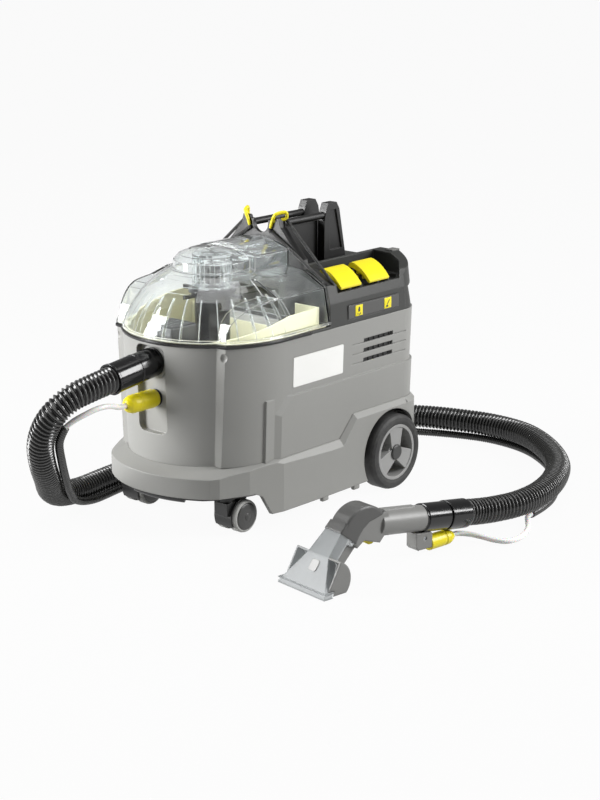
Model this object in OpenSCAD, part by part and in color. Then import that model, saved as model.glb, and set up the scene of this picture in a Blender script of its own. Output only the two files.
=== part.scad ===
// Spot extractor: a small spray extraction cleaner on two rear wheels and two swivel casters,
// with its suction hose and hand tool laid out on the floor. Millimetres, +Z up.
// Machine frame: +X to the rear, +Y to the far side, floor at z = 0. Every node is drawn in
// that frame and then moved by origin_shift, so that the origin is under the middle of the
// machine and its tool.

/* [Housing] */
// Radius of the round front at the rim
front_r = 145; // [143:1:147]
// Radius of the round front under the rim
barrel_r = 135.5; // [135:0.5:137]
// Radius of the round front at its foot
foot_r = 132; // [131:0.5:133]
// Place of the round front's axis along X
front_x = -100; // [-102:1:-98]
// Rear face of the housing along X
rear_x = 238; // [236:1:244]
// Radius of the two rear corners in plan
corner_r = 50; // [45:1:52]
// Height of the housing's foot
foot_z = 104; // [104:1:106]
// Height of the tank rim and of the deck's seam
rim_z = 285; // [284:1:286]
// Wall of the moulded housing
wall = 4; // [3:0.5:4.5]
// How much narrower the body's sides are at the foot
draft = 6; // [4:1:7]
// How far the lower side panels stand proud
panel_t = 3.5; // [3:0.5:4]

/* [Skirt] */
// Half width of the skirt at the sides
skirt_w = 151; // [150:1:153]
// Radius of the skirt's bowed front
skirt_front_r = 172; // [170:1:174]
// Height of the skirt's lower edge over the casters
skirt_low_z = 62; // [61:1:64]
// Height of the skirt's lower edge between caster and wheel
skirt_side_z = 25; // [22:1:28]
// Height at which the chamfer starts
skirt_top_z = 96; // [94:1:98]
// Height of the raised skirt over the wheels
arch_top_z = 133; // [132:1:135]

/* [Wheels] */
// Radius of the rear wheels
wheel_r = 61; // [60:0.5:62]
// Width of a rear wheel
wheel_w = 34; // [32:1:35]
// Outer face of the rear wheels from the middle plane
wheel_face = 162; // [161:1:164]
// Place of the rear axle along X
axle_x = 150; // [148:1:152]
// Diameter of the axle
axle_d = 12; // [10:1:14]
// Radius of the caster wheels
caster_r = 25; // [24:0.5:26]
// Swivel axis of the casters along X
caster_x = -178; // [-180:1:-176]
// Distance of the casters' swivel axes from the middle plane
caster_y = 99; // [97:1:101]
// Trail from swivel axis to wheel axle
caster_trail = 19; // [17:1:20]

/* [Deck] */
// Front face of the deck along X
deck_x = 5; // [5:0.5:6]
// Height of the deck's rear edge
deck_top_z = 367; // [365:1:369]
// Height of the tray between the two sides
tray_z = 352; // [350:1:354]
// Length of a switch rocker along X
rocker_w = 48; // [44:1:50]
// Press of a switch rocker in degrees
rocker_turn = 7; // [4:1:8]

/* [Holder] */
// Height of the holder's posts and horns
holder_top_z = 440; // [436:1:444]
// Half gauge between the two rails
rail_y = 22; // [21:1:23]
// Radius of the cradle notch in the front plate
cradle_r = 15; // [13:0.5:15]

/* [Lid] */
// Wall of the clear lid
lid_wall = 2.5; // [2:0.1:3]
// Radius of the tower at its top
tower_r = 58; // [56:1:60]
// Height of the tower's upper ring
tower_z = 391; // [388:1:394]
// Height of the duct's crown
duct_z = 411; // [409:1:413]

/* [Hoses] */
// Outer diameter of the suction hose
hose_d = 40; // [38:1:41]
// Outer diameter of the spray hose
spray_d = 8; // [7:0.5:9]

/* [Hand tool] */
// Width of the nozzle's mouth
nozzle_w = 96; // [90:1:104]
// Turn of the tool about Z in degrees
tool_yaw = 8; // [7:0.5:9]
// Diameter of the handle tube
handle_d = 38; // [36:1:40]

/* [Hidden] */
$fn = 64;

grey = [0.56, 0.56, 0.54];
charcoal = [0.17, 0.17, 0.17];
jet = [0.08, 0.08, 0.08];
yellow = [0.95, 0.88, 0.18];
seal_h = 5;                                 // bead between rim and lid
seal_end = -40;
eps = 0.01;

corner_x = rear_x - corner_r;
corner_y = front_r - corner_r;
strip_x = front_x - 91;                     // vertical edge where the round front meets the side
body_h = rim_z - foot_z;
bay_rear = deck_x - 7;                      // rear wall of the tank bay
room_front = deck_x + 1;                    // front wall of the machine room
floor_t = 8;
lean = atan(draft / body_h);              // lean of the sides
skirt_under = skirt_top_z - 8;              // underside of the skirt's top plate
bow_x = skirt_front_r - 254;                // axis of the skirt's bowed front
panel_front = -105;
panel_top = 200;
face_x = -222;                              // flat panel round the ports
port_z = 255;
vent_x = 86;
vent_z = 218;
vent_len = 72;
vent_pitch = 15.5;
socket_z = 200;
well_r = 69;                                // wheel well
well_y = 118;
tool_at = [-283, -338];
coupling_z = 12.4;
handle_a = [136, 0, 67];                    // ends of the handle tube's axis, in the tool's frame
handle_b = [222, 0, 54.5];
handle_dir = (handle_b - handle_a) / norm(handle_b - handle_a);
function on_handle(t) = handle_b + t * handle_dir;
handle_tilt = atan2(handle_dir[0], handle_dir[2]);
cuff_r = 21;
cuff_len = 48;

// Box of the machine and its tool without the hoses, for the origin
model_front = tool_at[0] - 2 * cos(tool_yaw) - nozzle_w / 2 * sin(tool_yaw);
model_rear = rear_x + skirt_w - front_r;
model_near = tool_at[1] - on_handle(cuff_len)[0] * sin(tool_yaw)
    - cuff_r * norm([handle_dir[2] * sin(tool_yaw), cos(tool_yaw)]);
model_far = wheel_face + 1.2;
origin_shift = [-(model_front + model_rear) / 2, -(model_near + model_far) / 2, 0];

// ---- helpers -------------------------------------------------------------------------------

// Round bar between two points
module bar(a, b, r) {
    d = b - a;
    h = norm(d);
    translate(a) rotate([0, acos(d[2] / h), atan2(d[1], d[0])]) cylinder(h = h, r = r);
}

// Extrusion along +X of an outline drawn in (y, z)
module along_x(x0, len) {
    translate([x0, 0, 0]) rotate([90, 0, 90]) linear_extrude(len) children();
}

// Extrusion along +Y of an outline drawn in (x, z)
module along_y(y0, len) {
    translate([0, y0 + len, 0]) rotate([90, 0, 0]) linear_extrude(len) children();
}

// Cylinder about a line parallel to Y, from y0 over len
module drum_y(x, y0, z, len, r) {
    translate([x, y0 + len, z]) rotate([90, 0, 0]) cylinder(h = len, r = r);
}

// Rounded rectangle with its lower left corner at the origin
module soft_rect(w, h, r) {
    translate([r, 0]) square([w - 2 * r, h]);
    translate([0, r]) square([w, h - 2 * r]);
    for (x = [r, w - r], y = [r, h - r]) translate([x, y]) circle(r);
}

// Tube of radius r swept along a smooth curve through route points
function catmull(p, i, t) =
    let (a = p[max(i - 1, 0)], b = p[i], c = p[i + 1], d = p[min(i + 2, len(p) - 1)])
    0.5 * (2 * b + (c - a) * t + (2 * a - 5 * b + 4 * c - d) * t * t
        + (3 * b - a - 3 * c + d) * t * t * t);
function smooth(p, n) = concat(
    [for (i = [0 : len(p) - 2], k = [0 : n - 1]) catmull(p, i, k / n)], [p[len(p) - 1]]);
function unit(v) = v / norm(v);
function tangent(p, i) = unit(p[min(i + 1, len(p) - 1)] - p[max(i - 1, 0)]);
function ring(c, t, r, sides) =
    let (s = unit(cross(t, [0, 0, 1])), u = cross(s, t))
    [for (k = [0 : sides - 1]) c + r * (cos(360 * k / sides) * s + sin(360 * k / sides) * u)];
module swept_tube(route, r, sides, n) {
    c = smooth(route, n);
    last = len(c) - 1;
    polyhedron(
        points = [for (i = [0 : last], p = ring(c[i], tangent(c, i), r, sides)) p],
        faces = concat(
            [[for (k = [0 : sides - 1]) k]],
            [for (i = [0 : last - 1], k = [0 : sides - 1])
                let (a = i * sides + k, b = i * sides + (k + 1) % sides)
                [a, a + sides, b + sides, b]],
            [[for (k = [sides - 1 : -1 : 0]) last * sides + k]]));
}

// ---- shells with draft -----------------------------------------------------------------------

// Half width of the body's sides at height z; they lean out towards the rim
function half_w(z) = front_r - draft * (rim_z - z) / body_h;

// Body with drafted walls, inset by d, between heights z0 and z1 and places x0 and x1
module body_form(d, z0, z1, x0, x1) {
    w0 = half_w(z0) - d;
    w1 = half_w(z1) - d;
    c0 = w0 - corner_y;
    c1 = w1 - corner_y;
    intersection() {
        union() {
            translate([front_x, 0, z0]) cylinder(h = z1 - z0, r1 = w0, r2 = w1, $fn = 128);
            along_x(front_x, corner_x - front_x) polygon([[-w0, z0], [w0, z0], [w1, z1], [-w1, z1]]);
            for (s = [-1, 1]) translate([corner_x, s * corner_y, z0])
                cylinder(h = z1 - z0, r1 = c0, r2 = c1);
            along_y(-corner_y, 2 * corner_y) polygon([[corner_x - 1, z0], [corner_x + c0, z0],
                [corner_x + c1, z1], [corner_x - 1, z1]]);
        }
        translate([x0, -200, z0]) cube([x1 - x0, 400, z1 - z0]);
    }
}

// Tapered round front, inset by d
module barrel_form(d, z0, z1) {
    slope = (barrel_r - foot_r) / body_h;
    r0 = foot_r - slope * foot_z - d;
    intersection() {
        translate([front_x, 0, z0]) cylinder(h = z1 - z0, r1 = r0 + slope * z0, r2 = r0 + slope * z1,
            $fn = 128);
        translate([-300, -200, z0]) cube([front_x + 310, 400, z1 - z0]);
    }
}

// Lower side and rear panels, standing proud by t, with a chamfered front and diagonal edge
module panel_form(t) {
    run = 9 / t;
    cut = [[-60, -1], [-9 - run, -1], [0.4 * run, t + 0.4], [0.4 * run, 20], [-60, 20]];
    difference() {
        body_form(-t, foot_z, panel_top, panel_front - 30, rear_x + 10);
        for (s = [0, 1]) mirror([0, s, 0]) translate([panel_front, half_w(foot_z), foot_z])
            rotate([-lean, 0, 0]) {
            translate([0, 0, -5]) linear_extrude(130) polygon(cut);
            translate([0, 0, 68]) rotate([0, atan2(25, 28), 0]) translate([0, 0, -60]) linear_extrude(120)
                polygon(cut);
        }
    }
}

// ---- machine, fixed pieces -------------------------------------------------------------------

// Plan of what lies behind the narrow strip in which the sides end beside the round front
module strip_plan(d) {
    polygon([[300, -200], [strip_x + 17 - d, -200], [strip_x - d, -113], [strip_x - 11 - d, -56],
        [strip_x - 11 - d, 56], [strip_x - d, 113], [strip_x + 17 - d, 200], [300, 200]]);
}

// Outside of the housing, grown by d
module housing_form(d) {
    barrel_form(-d, foot_z, rim_z);
    intersection() {
        body_form(-d, foot_z, rim_z, strip_x - 40, rear_x + 10);
        translate([0, 0, foot_z - 1]) linear_extrude(body_h + 2) strip_plan(d);
    }
    panel_form(panel_t + d);
}

// Plan of the housing's rim, grown by d, as far to the rear as x1
module rim_plan(d, x1) {
    intersection() {
        union() {
            translate([front_x, 0]) circle(r = barrel_r + d, $fn = 128);
            intersection() {
                union() {
                    translate([front_x, 0]) circle(r = front_r + d, $fn = 128);
                    translate([front_x, -front_r - d]) square([200, 2 * (front_r + d)]);
                }
                strip_plan(d);
            }
        }
        translate([-300, -200]) square([x1 + 300, 400]);
    }
}

module housing() {
    color(grey) difference() {
        housing_form(0);
        // tank bay, with a flat wall behind the ports
        difference() {
            barrel_form(wall, foot_z + floor_t, rim_z + 10);
            translate([-300, -33, 140]) cube([face_x + wall + 300, 66, 200]);
        }
        body_form(wall, foot_z + floor_t, rim_z + 10, strip_x + 12, bay_rear);
        // machine room
        body_form(wall, foot_z + floor_t, rim_z + 10, room_front, rear_x);
        // flat panel round the ports, with rounded lower corners
        along_x(face_x - 60, 60) translate([-29, 148]) soft_rect(58, rim_z - 152, 12);
        // suction port and spray socket
        translate([face_x - 1, 0, port_z]) rotate([0, 90, 0]) cylinder(h = 60, r = 24);
        translate([face_x - 1, 0, socket_z]) rotate([0, 90, 0]) cylinder(h = 60, r = 11);
        // finger dimple at the head of the corner strip
        for (s = [-1, 1]) translate([strip_x - 5, s * 111, rim_z - 14]) sphere(r = 8);
        // vent slots and their grooves
        for (s = [-1, 1], k = [0 : 2]) {
            z = vent_z + vent_pitch * k;
            translate([vent_x, s * front_r - 7, z]) cube([vent_len, 14, 6.5]);
            translate([vent_x - 28, s > 0 ? half_w(z) - 1.2 : -half_w(z) - 3.8, z]) cube([134, 5, 1.2]);
        }
        // badge recess
        translate([-78.7, 0.9 - half_w(210.3), 210.3]) rotate([90 + lean, 0, 0]) linear_extrude(8)
            square([115.4, 46]);
        // wheel wells, battery doorway and room for the door's barrel
        for (s = [-1, 1]) drum_y(axle_x, s > 0 ? well_y - 3.3 : -220, wheel_r, 220 - well_y + 3.3,
            well_r + 3.3);
        translate([rear_x - 20, -58, 150]) cube([40, 116, 112]);
        drum_y(hinge_x, -48.4, hinge_z, 96.8, 4.4);
    }
    // lugs of the battery door
    color(grey) for (y = [-56, 48.4]) difference() {
        union() {
            drum_y(hinge_x, y, hinge_z, 7.6, 4);
            translate([rear_x - 8, y, hinge_z - 4]) cube([9, 7.6, 8]);
        }
        drum_y(hinge_x, y - 1, hinge_z, 10, 2.05);
    }
}

// Half of the skirt's side line, from the front corner to the rear
side_line = [[-228, 96], [-208, 114], [-165, 134], [-105, 148], [0, skirt_w], [corner_x, skirt_w]];
module skirt_plan(d) {
    half = [for (p = side_line) [p[0] + (p[0] < -10 ? d : 0), p[1] - d]];
    intersection() {
        union() {
            translate([bow_x, 0]) circle(r = skirt_front_r - d, $fn = 128);
            translate([bow_x, -200]) square([400, 400]);
        }
        polygon(concat([[-264, -70 + d], [-264, 70 - d]], half,
            [for (i = [len(half) - 1 : -1 : 0]) [half[i][0], -half[i][1]]]));
    }
    for (s = [-1, 1]) translate([corner_x, s * corner_y]) circle(r = skirt_w - corner_y - d);
    translate([corner_x - 1, -corner_y]) square([skirt_w - corner_y - d + 1, 2 * corner_y]);
}

// Outer form of the skirt before its arches are cut
module skirt_form() {
    cone_z = skirt_top_z - 4;
    rear_r = skirt_w - corner_y;
    rear_profile = [[0, skirt_side_z], [rear_r, skirt_side_z], [rear_r, arch_top_z],
        [rear_r - 12, arch_top_z + 14],
        [0, arch_top_z + 14]];
    intersection() {
        translate([0, 0, skirt_side_z]) linear_extrude(foot_z + 8 - skirt_side_z) skirt_plan(0);
        union() {
            translate([bow_x, 0, 0]) rotate_extrude($fn = 128)
                polygon([[0, 0], [skirt_front_r, 0], [skirt_front_r, cone_z],
                [skirt_front_r - 46, cone_z + 24], [0, cone_z + 24]]);
            translate([bow_x, -200, 0]) cube([400, 400, 200]);
        }
        along_x(-300, 372) polygon([[-skirt_w, 0], [-skirt_w, skirt_top_z], [12 - skirt_w, foot_z + 8],
            [skirt_w - 12, foot_z + 8], [skirt_w, skirt_top_z], [skirt_w, 0]]);
    }
    translate([71, 12 - skirt_w, skirt_side_z]) cube([corner_x - 71, 2 * skirt_w - 24,
        foot_z + 8 - skirt_side_z]);
    // raised part over the wheels, and the rear corners
    for (s = [0, 1]) mirror([0, s, 0]) intersection() {
        union() {
            along_x(0, 72) polygon([[skirt_w - 30, skirt_top_z - 8], [skirt_w, skirt_top_z - 8],
                [skirt_w, arch_top_z],
                [skirt_w - 12, arch_top_z + 14], [skirt_w - 30, arch_top_z + 14]]);
            along_x(70, corner_x - 70) polygon([[skirt_w - 30, skirt_side_z], [skirt_w, skirt_side_z],
                [skirt_w, arch_top_z],
                [skirt_w - 12, arch_top_z + 14], [skirt_w - 30, arch_top_z + 14]]);
        }
        translate([27, 0, 92]) rotate([0, atan2(36, 41), 0]) translate([0, 0, -300]) linear_extrude(600)
            polygon([[-12, skirt_w - 30], [-12, skirt_w - 12], [0, skirt_w], [300, skirt_w],
                [300, skirt_w - 30]]);
    }
    for (s = [-1, 1]) translate([corner_x, s * corner_y, 0]) rotate_extrude() polygon(rear_profile);
    along_y(-corner_y, 2 * corner_y) translate([corner_x, 0]) polygon(rear_profile);
}

module base_skirt() {
    color(grey) difference() {
        skirt_form();
        // seat of the housing
        housing_form(0.05);
        // hollow underneath, open below
        translate([0, 0, -1]) linear_extrude(skirt_under + 1) skirt_plan(wall + 1);
        translate([0, 0, skirt_under - 1]) linear_extrude(foot_z - wall - skirt_under + 1) skirt_plan(30);
        // low edge over the casters and the slope behind them
        along_y(-200, 400) polygon([[-300, 0], [-300, skirt_low_z], [-156, skirt_low_z],
            [-143, skirt_low_z - 6],
            [-126, skirt_side_z], [-126, 0]]);
        // rear end of the side edges
        along_y(-200, 400) polygon([[222, 0], [222, skirt_side_z], [236, 62], [300, 62], [300, 0]]);
        for (s = [-1, 1]) drum_y(axle_x, s > 0 ? well_y : -220, wheel_r, 220 - well_y, well_r);
    }
}

// Floor pan under the machine, with the caster sockets, the axle's seat and the wheel wells' backs
module base_pan() {
    color(charcoal) difference() {
        union() {
            translate([0, 0, 58]) linear_extrude(5) skirt_plan(wall + 1.5);
            // ribs up to the skirt's top plate
            for (x = [-150, -60, 40]) translate([x, -100, 62]) cube([5, 200, skirt_under - 62]);
            for (s = [-1, 1]) translate([-214, s * 60 - 2.5, 62]) cube([260, 5, skirt_under - 62]);
            for (s = [-1, 1]) translate([caster_x, s * caster_y, 55])
                cylinder(h = skirt_under - 55, r = 16);
            for (s = [-1, 1]) translate([axle_x - 16, s * 90 - 20, wheel_r - 16])
                cube([32, 40, skirt_under - wheel_r + 16]);
        }
        for (s = [-1, 1]) drum_y(axle_x, s > 0 ? well_y - 6 : -220, wheel_r, 220 - well_y + 6, well_r + 2);
        drum_y(axle_x, -200, wheel_r, 400, axle_d / 2 + 0.05);
        for (s = [-1, 1]) translate([caster_x, s * caster_y, 51]) cylinder(h = 30, r = 5.5 + 0.05);
    }
}

// Black bead on the tank bay's rim, under the lid
module rim_seal() {
    color(jet) translate([0, 0, rim_z]) difference() {
        union() {
            linear_extrude(seal_h) rim_plan(1.5, seal_end);
            translate([0, 0, 1]) linear_extrude(seal_h - 2) rim_plan(2.4, seal_end);
        }
        translate([0, 0, -1]) linear_extrude(seal_h + 2) rim_plan(-wall, seal_end + 20);
    }
}

// Section of the deck across the machine: high sides, low tray in the middle
module deck_section() {
    polygon([[-front_r, rim_z], [-front_r + 1.5, 322], [-137, 349], [-100, deck_top_z], [-57, deck_top_z],
        [-57, tray_z], [57, tray_z], [57, deck_top_z], [100, deck_top_z], [137, 349], [front_r - 1.5, 322],
        [front_r, rim_z]]);
}

module control_deck() {
    deck_h = deck_top_z - rim_z;
    color(charcoal) difference() {
        intersection() {
            along_x(deck_x, rear_x - deck_x) deck_section();
            union() {
                translate([deck_x, -200, rim_z]) cube([corner_x - deck_x, 400, deck_h + 1]);
                for (s = [-1, 1]) translate([corner_x, s * corner_y, rim_z])
                    cylinder(h = deck_h + 1, r1 = corner_r, r2 = corner_r - 9);
                along_y(-corner_y, 2 * corner_y) polygon([[corner_x - 1, rim_z], [rear_x, rim_z],
                    [rear_x - 5, deck_top_z + 1], [corner_x - 1, deck_top_z + 1]]);
            }
        }
        // sunk bay of the two rockers: open to the side wall's top edge, deeper inside it
        translate([0, 0, 336]) linear_extrude(60)
            polygon([[27, -62], [209, -62], [204, -118], [178, -139], [178, -170], [27, -170]]);
        translate([0, 0, 328]) linear_extrude(60)
            polygon([[30, -66], [205, -66], [200, -116], [176, -134], [30, -134]]);
        // tray of the far side
        translate([30, 66, 358]) linear_extrude(20) soft_rect(172, 36, 6);
        // hollow underneath
        along_x(deck_x + wall, rear_x - deck_x - 12) polygon([[-front_r + wall, rim_z - 1],
            [-front_r + wall + 1.5, 320], [-133, 324], [-53, 324], [-53, tray_z - wall],
            [60, tray_z - wall],
            [60, 353], [96, 353], [132, 338], [front_r - wall - 1.5, 320], [front_r - wall, rim_z - 1]]);
        // seat of the switch strip
        translate([46, -front_r - 3, 292]) cube([124, 4.6, 22]);
        // intake of the suction duct, behind the lid
        translate([deck_x - 1, -40, 300]) cube([wall + 2, 80, 30]);
    }
    color(charcoal) {
        // thin lips along the housing's rim beside the lid's rear end
        for (s = [-1, 1]) translate([seal_end, s > 0 ? front_r - 3.8 : -front_r - 0.4, rim_z])
            cube([deck_x - seal_end + 1, 4.2, 4]);
        // pin lugs under each rocker's ends
        for (x = rocker_x, k = [2, rocker_w - 6.5]) difference() {
            along_x(x + k, 4.5) polygon([[-126, 328], [-106, 328], [-111, 350], [-121, 350]]);
            translate([x + k - 1, rocker_pivot[0], rocker_pivot[1]]) rotate([0, 90, 0])
                cylinder(h = 8, r = 3.05);
        }
        // ribs between the rockers' bays
        for (x = [88, 156]) along_x(x, 3) polygon([[-134, 328], [-66, 328], [-66, 357], [-92, 357],
            [-134, 342]]);
    }
}

module switch_strip() {
    color([0.27, 0.27, 0.26]) translate([46.2, -front_r + 1.6, 292.2]) rotate([90, 0, 0])
        linear_extrude(2.2)
        soft_rect(123.6, 21.6, 1.5);
}

module badge_plate() {
    color([0.93, 0.93, 0.91]) translate([-78.5, 0.9 - half_w(210.3), 210.3]) rotate([90 + lean, 0, 0])
        translate([0, 0.2, 0]) linear_extrude(1.5) soft_rect(115, 45.5, 2);
}

module vent_grilles() {
    color(jet) for (s = [-1, 1], k = [0 : 2]) {
        z = vent_z + vent_pitch * k;
        y = half_w(z) - 3;
        translate([vent_x + 0.1, s > 0 ? y - 2 : -y, z + 0.1]) cube([vent_len - 0.2, 2, 6.3]);
        for (i = [0 : 5]) translate([vent_x + 2 + 12.6 * i, s > 0 ? y : -y - 1.6, z + 0.1])
            cube([1.6, 1.6, 6.3]);
    }
}

module deck_clip() {
    color([0.5, 0.5, 0.48]) {
        translate([217, -94, deck_top_z]) cube([19, 14, 2]);
        translate([234, -94, deck_top_z - 6]) cube([2, 14, 6 + eps]);
    }
}

module hose_port() {
    color(jet) translate([face_x, 0, port_z]) rotate([0, -90, 0]) difference() {
        union() {
            translate([0, 0, -wall]) cylinder(h = wall, r = 23.9);
            cylinder(h = 3, r = 25.5);
        }
        translate([0, 0, -15]) cylinder(h = 30, r = 21);
    }
}

module water_socket() {
    color(jet) translate([face_x, 0, socket_z]) rotate([0, -90, 0]) difference() {
        union() {
            translate([0, 0, -wall]) cylinder(h = wall, r = 10.9);
            cylinder(h = 4, r = 13);
        }
        translate([0, 0, -15]) cylinder(h = 30, r = 8);
    }
}

// Suction turbine standing on the machine room's floor
module vacuum_motor() {
    color([0.35, 0.35, 0.36]) translate([62, 30, foot_z + floor_t]) {
        cylinder(h = 6, r = 52);
        translate([0, 0, 6]) cylinder(h = 42, r = 48);
        translate([0, 0, 48]) cylinder(h = 20, r = 40);
        translate([0, 0, 68]) cylinder(h = 46, r = 30);
        translate([0, 0, 114]) cylinder(h = 8, r = 12);
        translate([44, 18, 16]) rotate([0, 90, 25]) cylinder(h = 22, r = 12);
    }
}

module spray_pump() {
    color([0.2, 0.2, 0.22]) translate([28, -92, foot_z + floor_t]) {
        cube([90, 52, 4]);
        translate([6, 26, 32]) rotate([0, 90, 0]) cylinder(h = 56, r = 24);
        translate([62, 8, 4]) cube([26, 36, 50]);
        for (y = [14, 38]) translate([75, y, 54]) cylinder(h = 12, r = 5);
        translate([6, 4, 4]) cube([56, 44, 8]);
    }
}

module battery_pack() {
    color(charcoal) {
        translate([126, -43.5, 166]) cube([100, 87, 80]);
        translate([126, -30, 246]) cube([88, 60, 6]);
        translate([150, -30, foot_z + floor_t]) cube([60, 60, 166 - foot_z - floor_t]);
    }
}

// Rear door of the battery bay, hinged along its lower edge
function rear_at(z) = corner_x + half_w(z) - corner_y;
hinge_x = rear_x + 1;
hinge_z = 147;
door_low = 151.3;
door_high = 261.5;
module battery_door() {
    color(charcoal) {
        along_y(-57.5, 115) polygon([[rear_at(door_low) - 4, door_low], [rear_at(door_low) + panel_t,
            door_low],
            [rear_at(panel_top) + panel_t, panel_top], [rear_at(panel_top + 4), panel_top + 4],
            [rear_at(door_high), door_high], [rear_at(door_high) - 4, door_high]]);
        // barrel, its web and the pin through it
        translate([rear_x - 1.8, -48, hinge_z + 1]) cube([2.8, 96, 5]);
        drum_y(hinge_x, -48, hinge_z, 96, 4);
        drum_y(hinge_x, -55, hinge_z, 110, 2);
        // finger latch
        translate([rear_at(246) - 1, -14, 246]) cube([4, 28, 8]);
    }
}

module rear_axle() {
    color([0.7, 0.7, 0.72]) drum_y(axle_x, -wheel_face + 5, wheel_r, 2 * wheel_face - 10, axle_d / 2);
}

// ---- rear wheels, s = -1 near, 1 far ---------------------------------------------------------

// Moves a shape drawn about +Z, outer face up, to a rear wheel's place
module at_wheel(s) {
    translate([axle_x, s * (wheel_face - wheel_w), wheel_r]) rotate([s * -90, 0, 0]) children();
}

module tyre(s) {
    color([0.25, 0.25, 0.25]) at_wheel(s) rotate_extrude($fn = 96)
        polygon([[45, 1], [56, 0], [59.5, 2], [wheel_r, 6], [wheel_r, wheel_w - 7], [59.5, wheel_w - 3],
            [56, wheel_w], [50, wheel_w + 0.5], [45, wheel_w - 1]]);
}

module rim(s) {
    color([0.72, 0.72, 0.71]) at_wheel(s) difference() {
        union() {
            // rim barrel, back disc and hub
            difference() {
                translate([0, 0, 2]) cylinder(h = wheel_w - 3, r = 44.95);
                translate([0, 0, 10]) cylinder(h = wheel_w, r = 40);
            }
            cylinder(h = wheel_w - 5, r = 16);
            // three broad spokes
            intersection() {
                translate([0, 0, 10]) cylinder(h = wheel_w - 12, r = 41);
                union() for (a = [90, 210, 330]) rotate(a) translate([0, -13, 8])
                    linear_extrude(wheel_w - 10) polygon([[0, 4], [0, 22], [42, 30], [42, -4]]);
            }
        }
        translate([0, 0, -1]) cylinder(h = wheel_w + 10, r = axle_d / 2 + 0.05);
        translate([0, 0, wheel_w - 5]) cylinder(h = 10, r = 12.1);
    }
}

module hub(s) {
    color([0.3, 0.3, 0.3]) at_wheel(s) translate([0, 0, wheel_w - 5]) {
        cylinder(h = 5, r = 12);
        translate([0, 0, 5]) cylinder(h = 1.2, r1 = 12, r2 = 10.5);
    }
}

// ---- casters -----------------------------------------------------------------------------------

module at_caster(s) {
    translate([caster_x, s * caster_y, 0]) children();
}

module caster_hood(s) {
    color(jet) at_caster(s) {
        translate([0, 0, 50]) cylinder(h = 30, r = 5.5);
        translate([0, 0, 50]) cylinder(h = 4.7, r = 12);
        difference() {
            union() {
                difference() {
                    union() {
                        // fairing over the front and top of both wheels
                        drum_y(caster_trail, -17, caster_r, 34, caster_r + 3);
                        translate([-13, -13, 30]) cube([26, 26, 20]);
                    }
                    for (k = [-1, 1]) drum_y(caster_trail, k > 0 ? 4 : -30, caster_r, 26, caster_r + 1.2);
                    // open behind and below
                    translate([caster_trail + 6, -40, -10]) cube([60, 80, 80]);
                    translate([-60, -40, -10]) cube([120, 80, 22]);
                }
                drum_y(caster_trail, -4, caster_r, 8, 14);
            }
            drum_y(caster_trail, -20, caster_r, 40, 4.05);
        }
    }
}

module caster_wheels(s) {
    color(charcoal) at_caster(s) {
        drum_y(caster_trail, -23, caster_r, 46, 4);
        for (k = [0, 1]) mirror([0, k, 0]) translate([caster_trail, 5, caster_r]) rotate([-90, 0, 0])
            rotate_extrude() polygon([[4 - eps, 0], [20.9, 0], [20.9, 17.5], [18.5, 19], [10, 20],
                [4 - eps, 20]]);
    }
}

module caster_tyres(s) {
    color([0.72, 0.72, 0.7]) at_caster(s) for (k = [0, 1]) mirror([0, k, 0])
        translate([caster_trail, 5.5, caster_r]) rotate([-90, 0, 0])
            rotate_extrude() polygon([[20.95, 0], [24, 0], [caster_r, 2], [caster_r, 13], [24.2, 15.5],
                [22.5, 16.8], [20.95, 17]]);
}

// ---- rockers -----------------------------------------------------------------------------------

rocker_pivot = [-116, 346];                 // (y, z) of the rockers' pins
rocker_x = [32, 100];
module rocker(x0) {
    color(yellow) {
        along_x(x0, rocker_w) polygon(concat(
            [[-98, 360], [-102, 366.5]],
            [for (a = [0 : 6]) let (t = a / 6) [-106 - 37 * t, 368.5 - 4 * t - 21 * t * t]],
            [[-142, 340.5], [-138.5, 341.5], [-128, 352], [-110, 359]]));
        along_x(x0 + 8, rocker_w - 16) polygon([[-124, 356], [-108, 360], [-111, 342], [-121, 342]]);
        translate([x0 + 1.5, rocker_pivot[0], rocker_pivot[1]]) rotate([0, 90, 0])
            cylinder(h = rocker_w - 3, r = 3);
    }
}

// ---- holder ------------------------------------------------------------------------------------

plate_x = deck_x + 4.5;
plate_t = 6;
module holder_frame() {
    rail_z = holder_top_z - 12;
    edge = [[-86, deck_top_z], [-83, 381], [-60, 404], [-40, 426], [-36, holder_top_z], [-24, holder_top_z],
        [-21, holder_top_z - 5]];
    color(jet) {
        difference() {
            along_x(plate_x, plate_t) polygon(concat([[-57, tray_z], [-57, deck_top_z]], edge,
                [for (i = [len(edge) - 1 : -1 : 0]) [-edge[i][0], edge[i][1]]],
                [[57, deck_top_z], [57, tray_z]]));
            // cradle for the tool's tube
            translate([plate_x - 1, 0, rail_z + 2]) rotate([0, 90, 0])
                cylinder(h = plate_t + 2, r = cradle_r);
            translate([plate_x - 1, -cradle_r, rail_z + 2]) cube([plate_t + 2, 2 * cradle_r, 30]);
        }
        // flanges along the plate's sloping edges
        for (s = [0, 1]) mirror([0, s, 0]) along_x(plate_x + plate_t - eps, 8)
            polygon([[-86, deck_top_z], [-83, 381], [-60, 404], [-40, 426], [-36, 437], [-29, 437],
                [-33, 423],
                [-54, 398], [-76, 377], [-78, deck_top_z]]);
        for (s = [-1, 1]) {
            translate([plate_x + plate_t - eps, s * rail_y, rail_z]) rotate([0, 90, 0])
                cylinder(h = 132 - plate_x - plate_t, r = 5.5);
            // horn with a channelled face
            difference() {
                along_y(s > 0 ? 15 : -29, 14) polygon([[126, tray_z], [179, tray_z], [177, deck_top_z],
                    [163, 436],
                    [156, 447], [136, 447], [131, 436], [127, 420]]);
                along_y(s > 0 ? 26.5 : -30, 3.5) polygon([[140, 372], [170, 372], [155, 436], [139, 436]]);
            }
        }
    }
}

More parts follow.
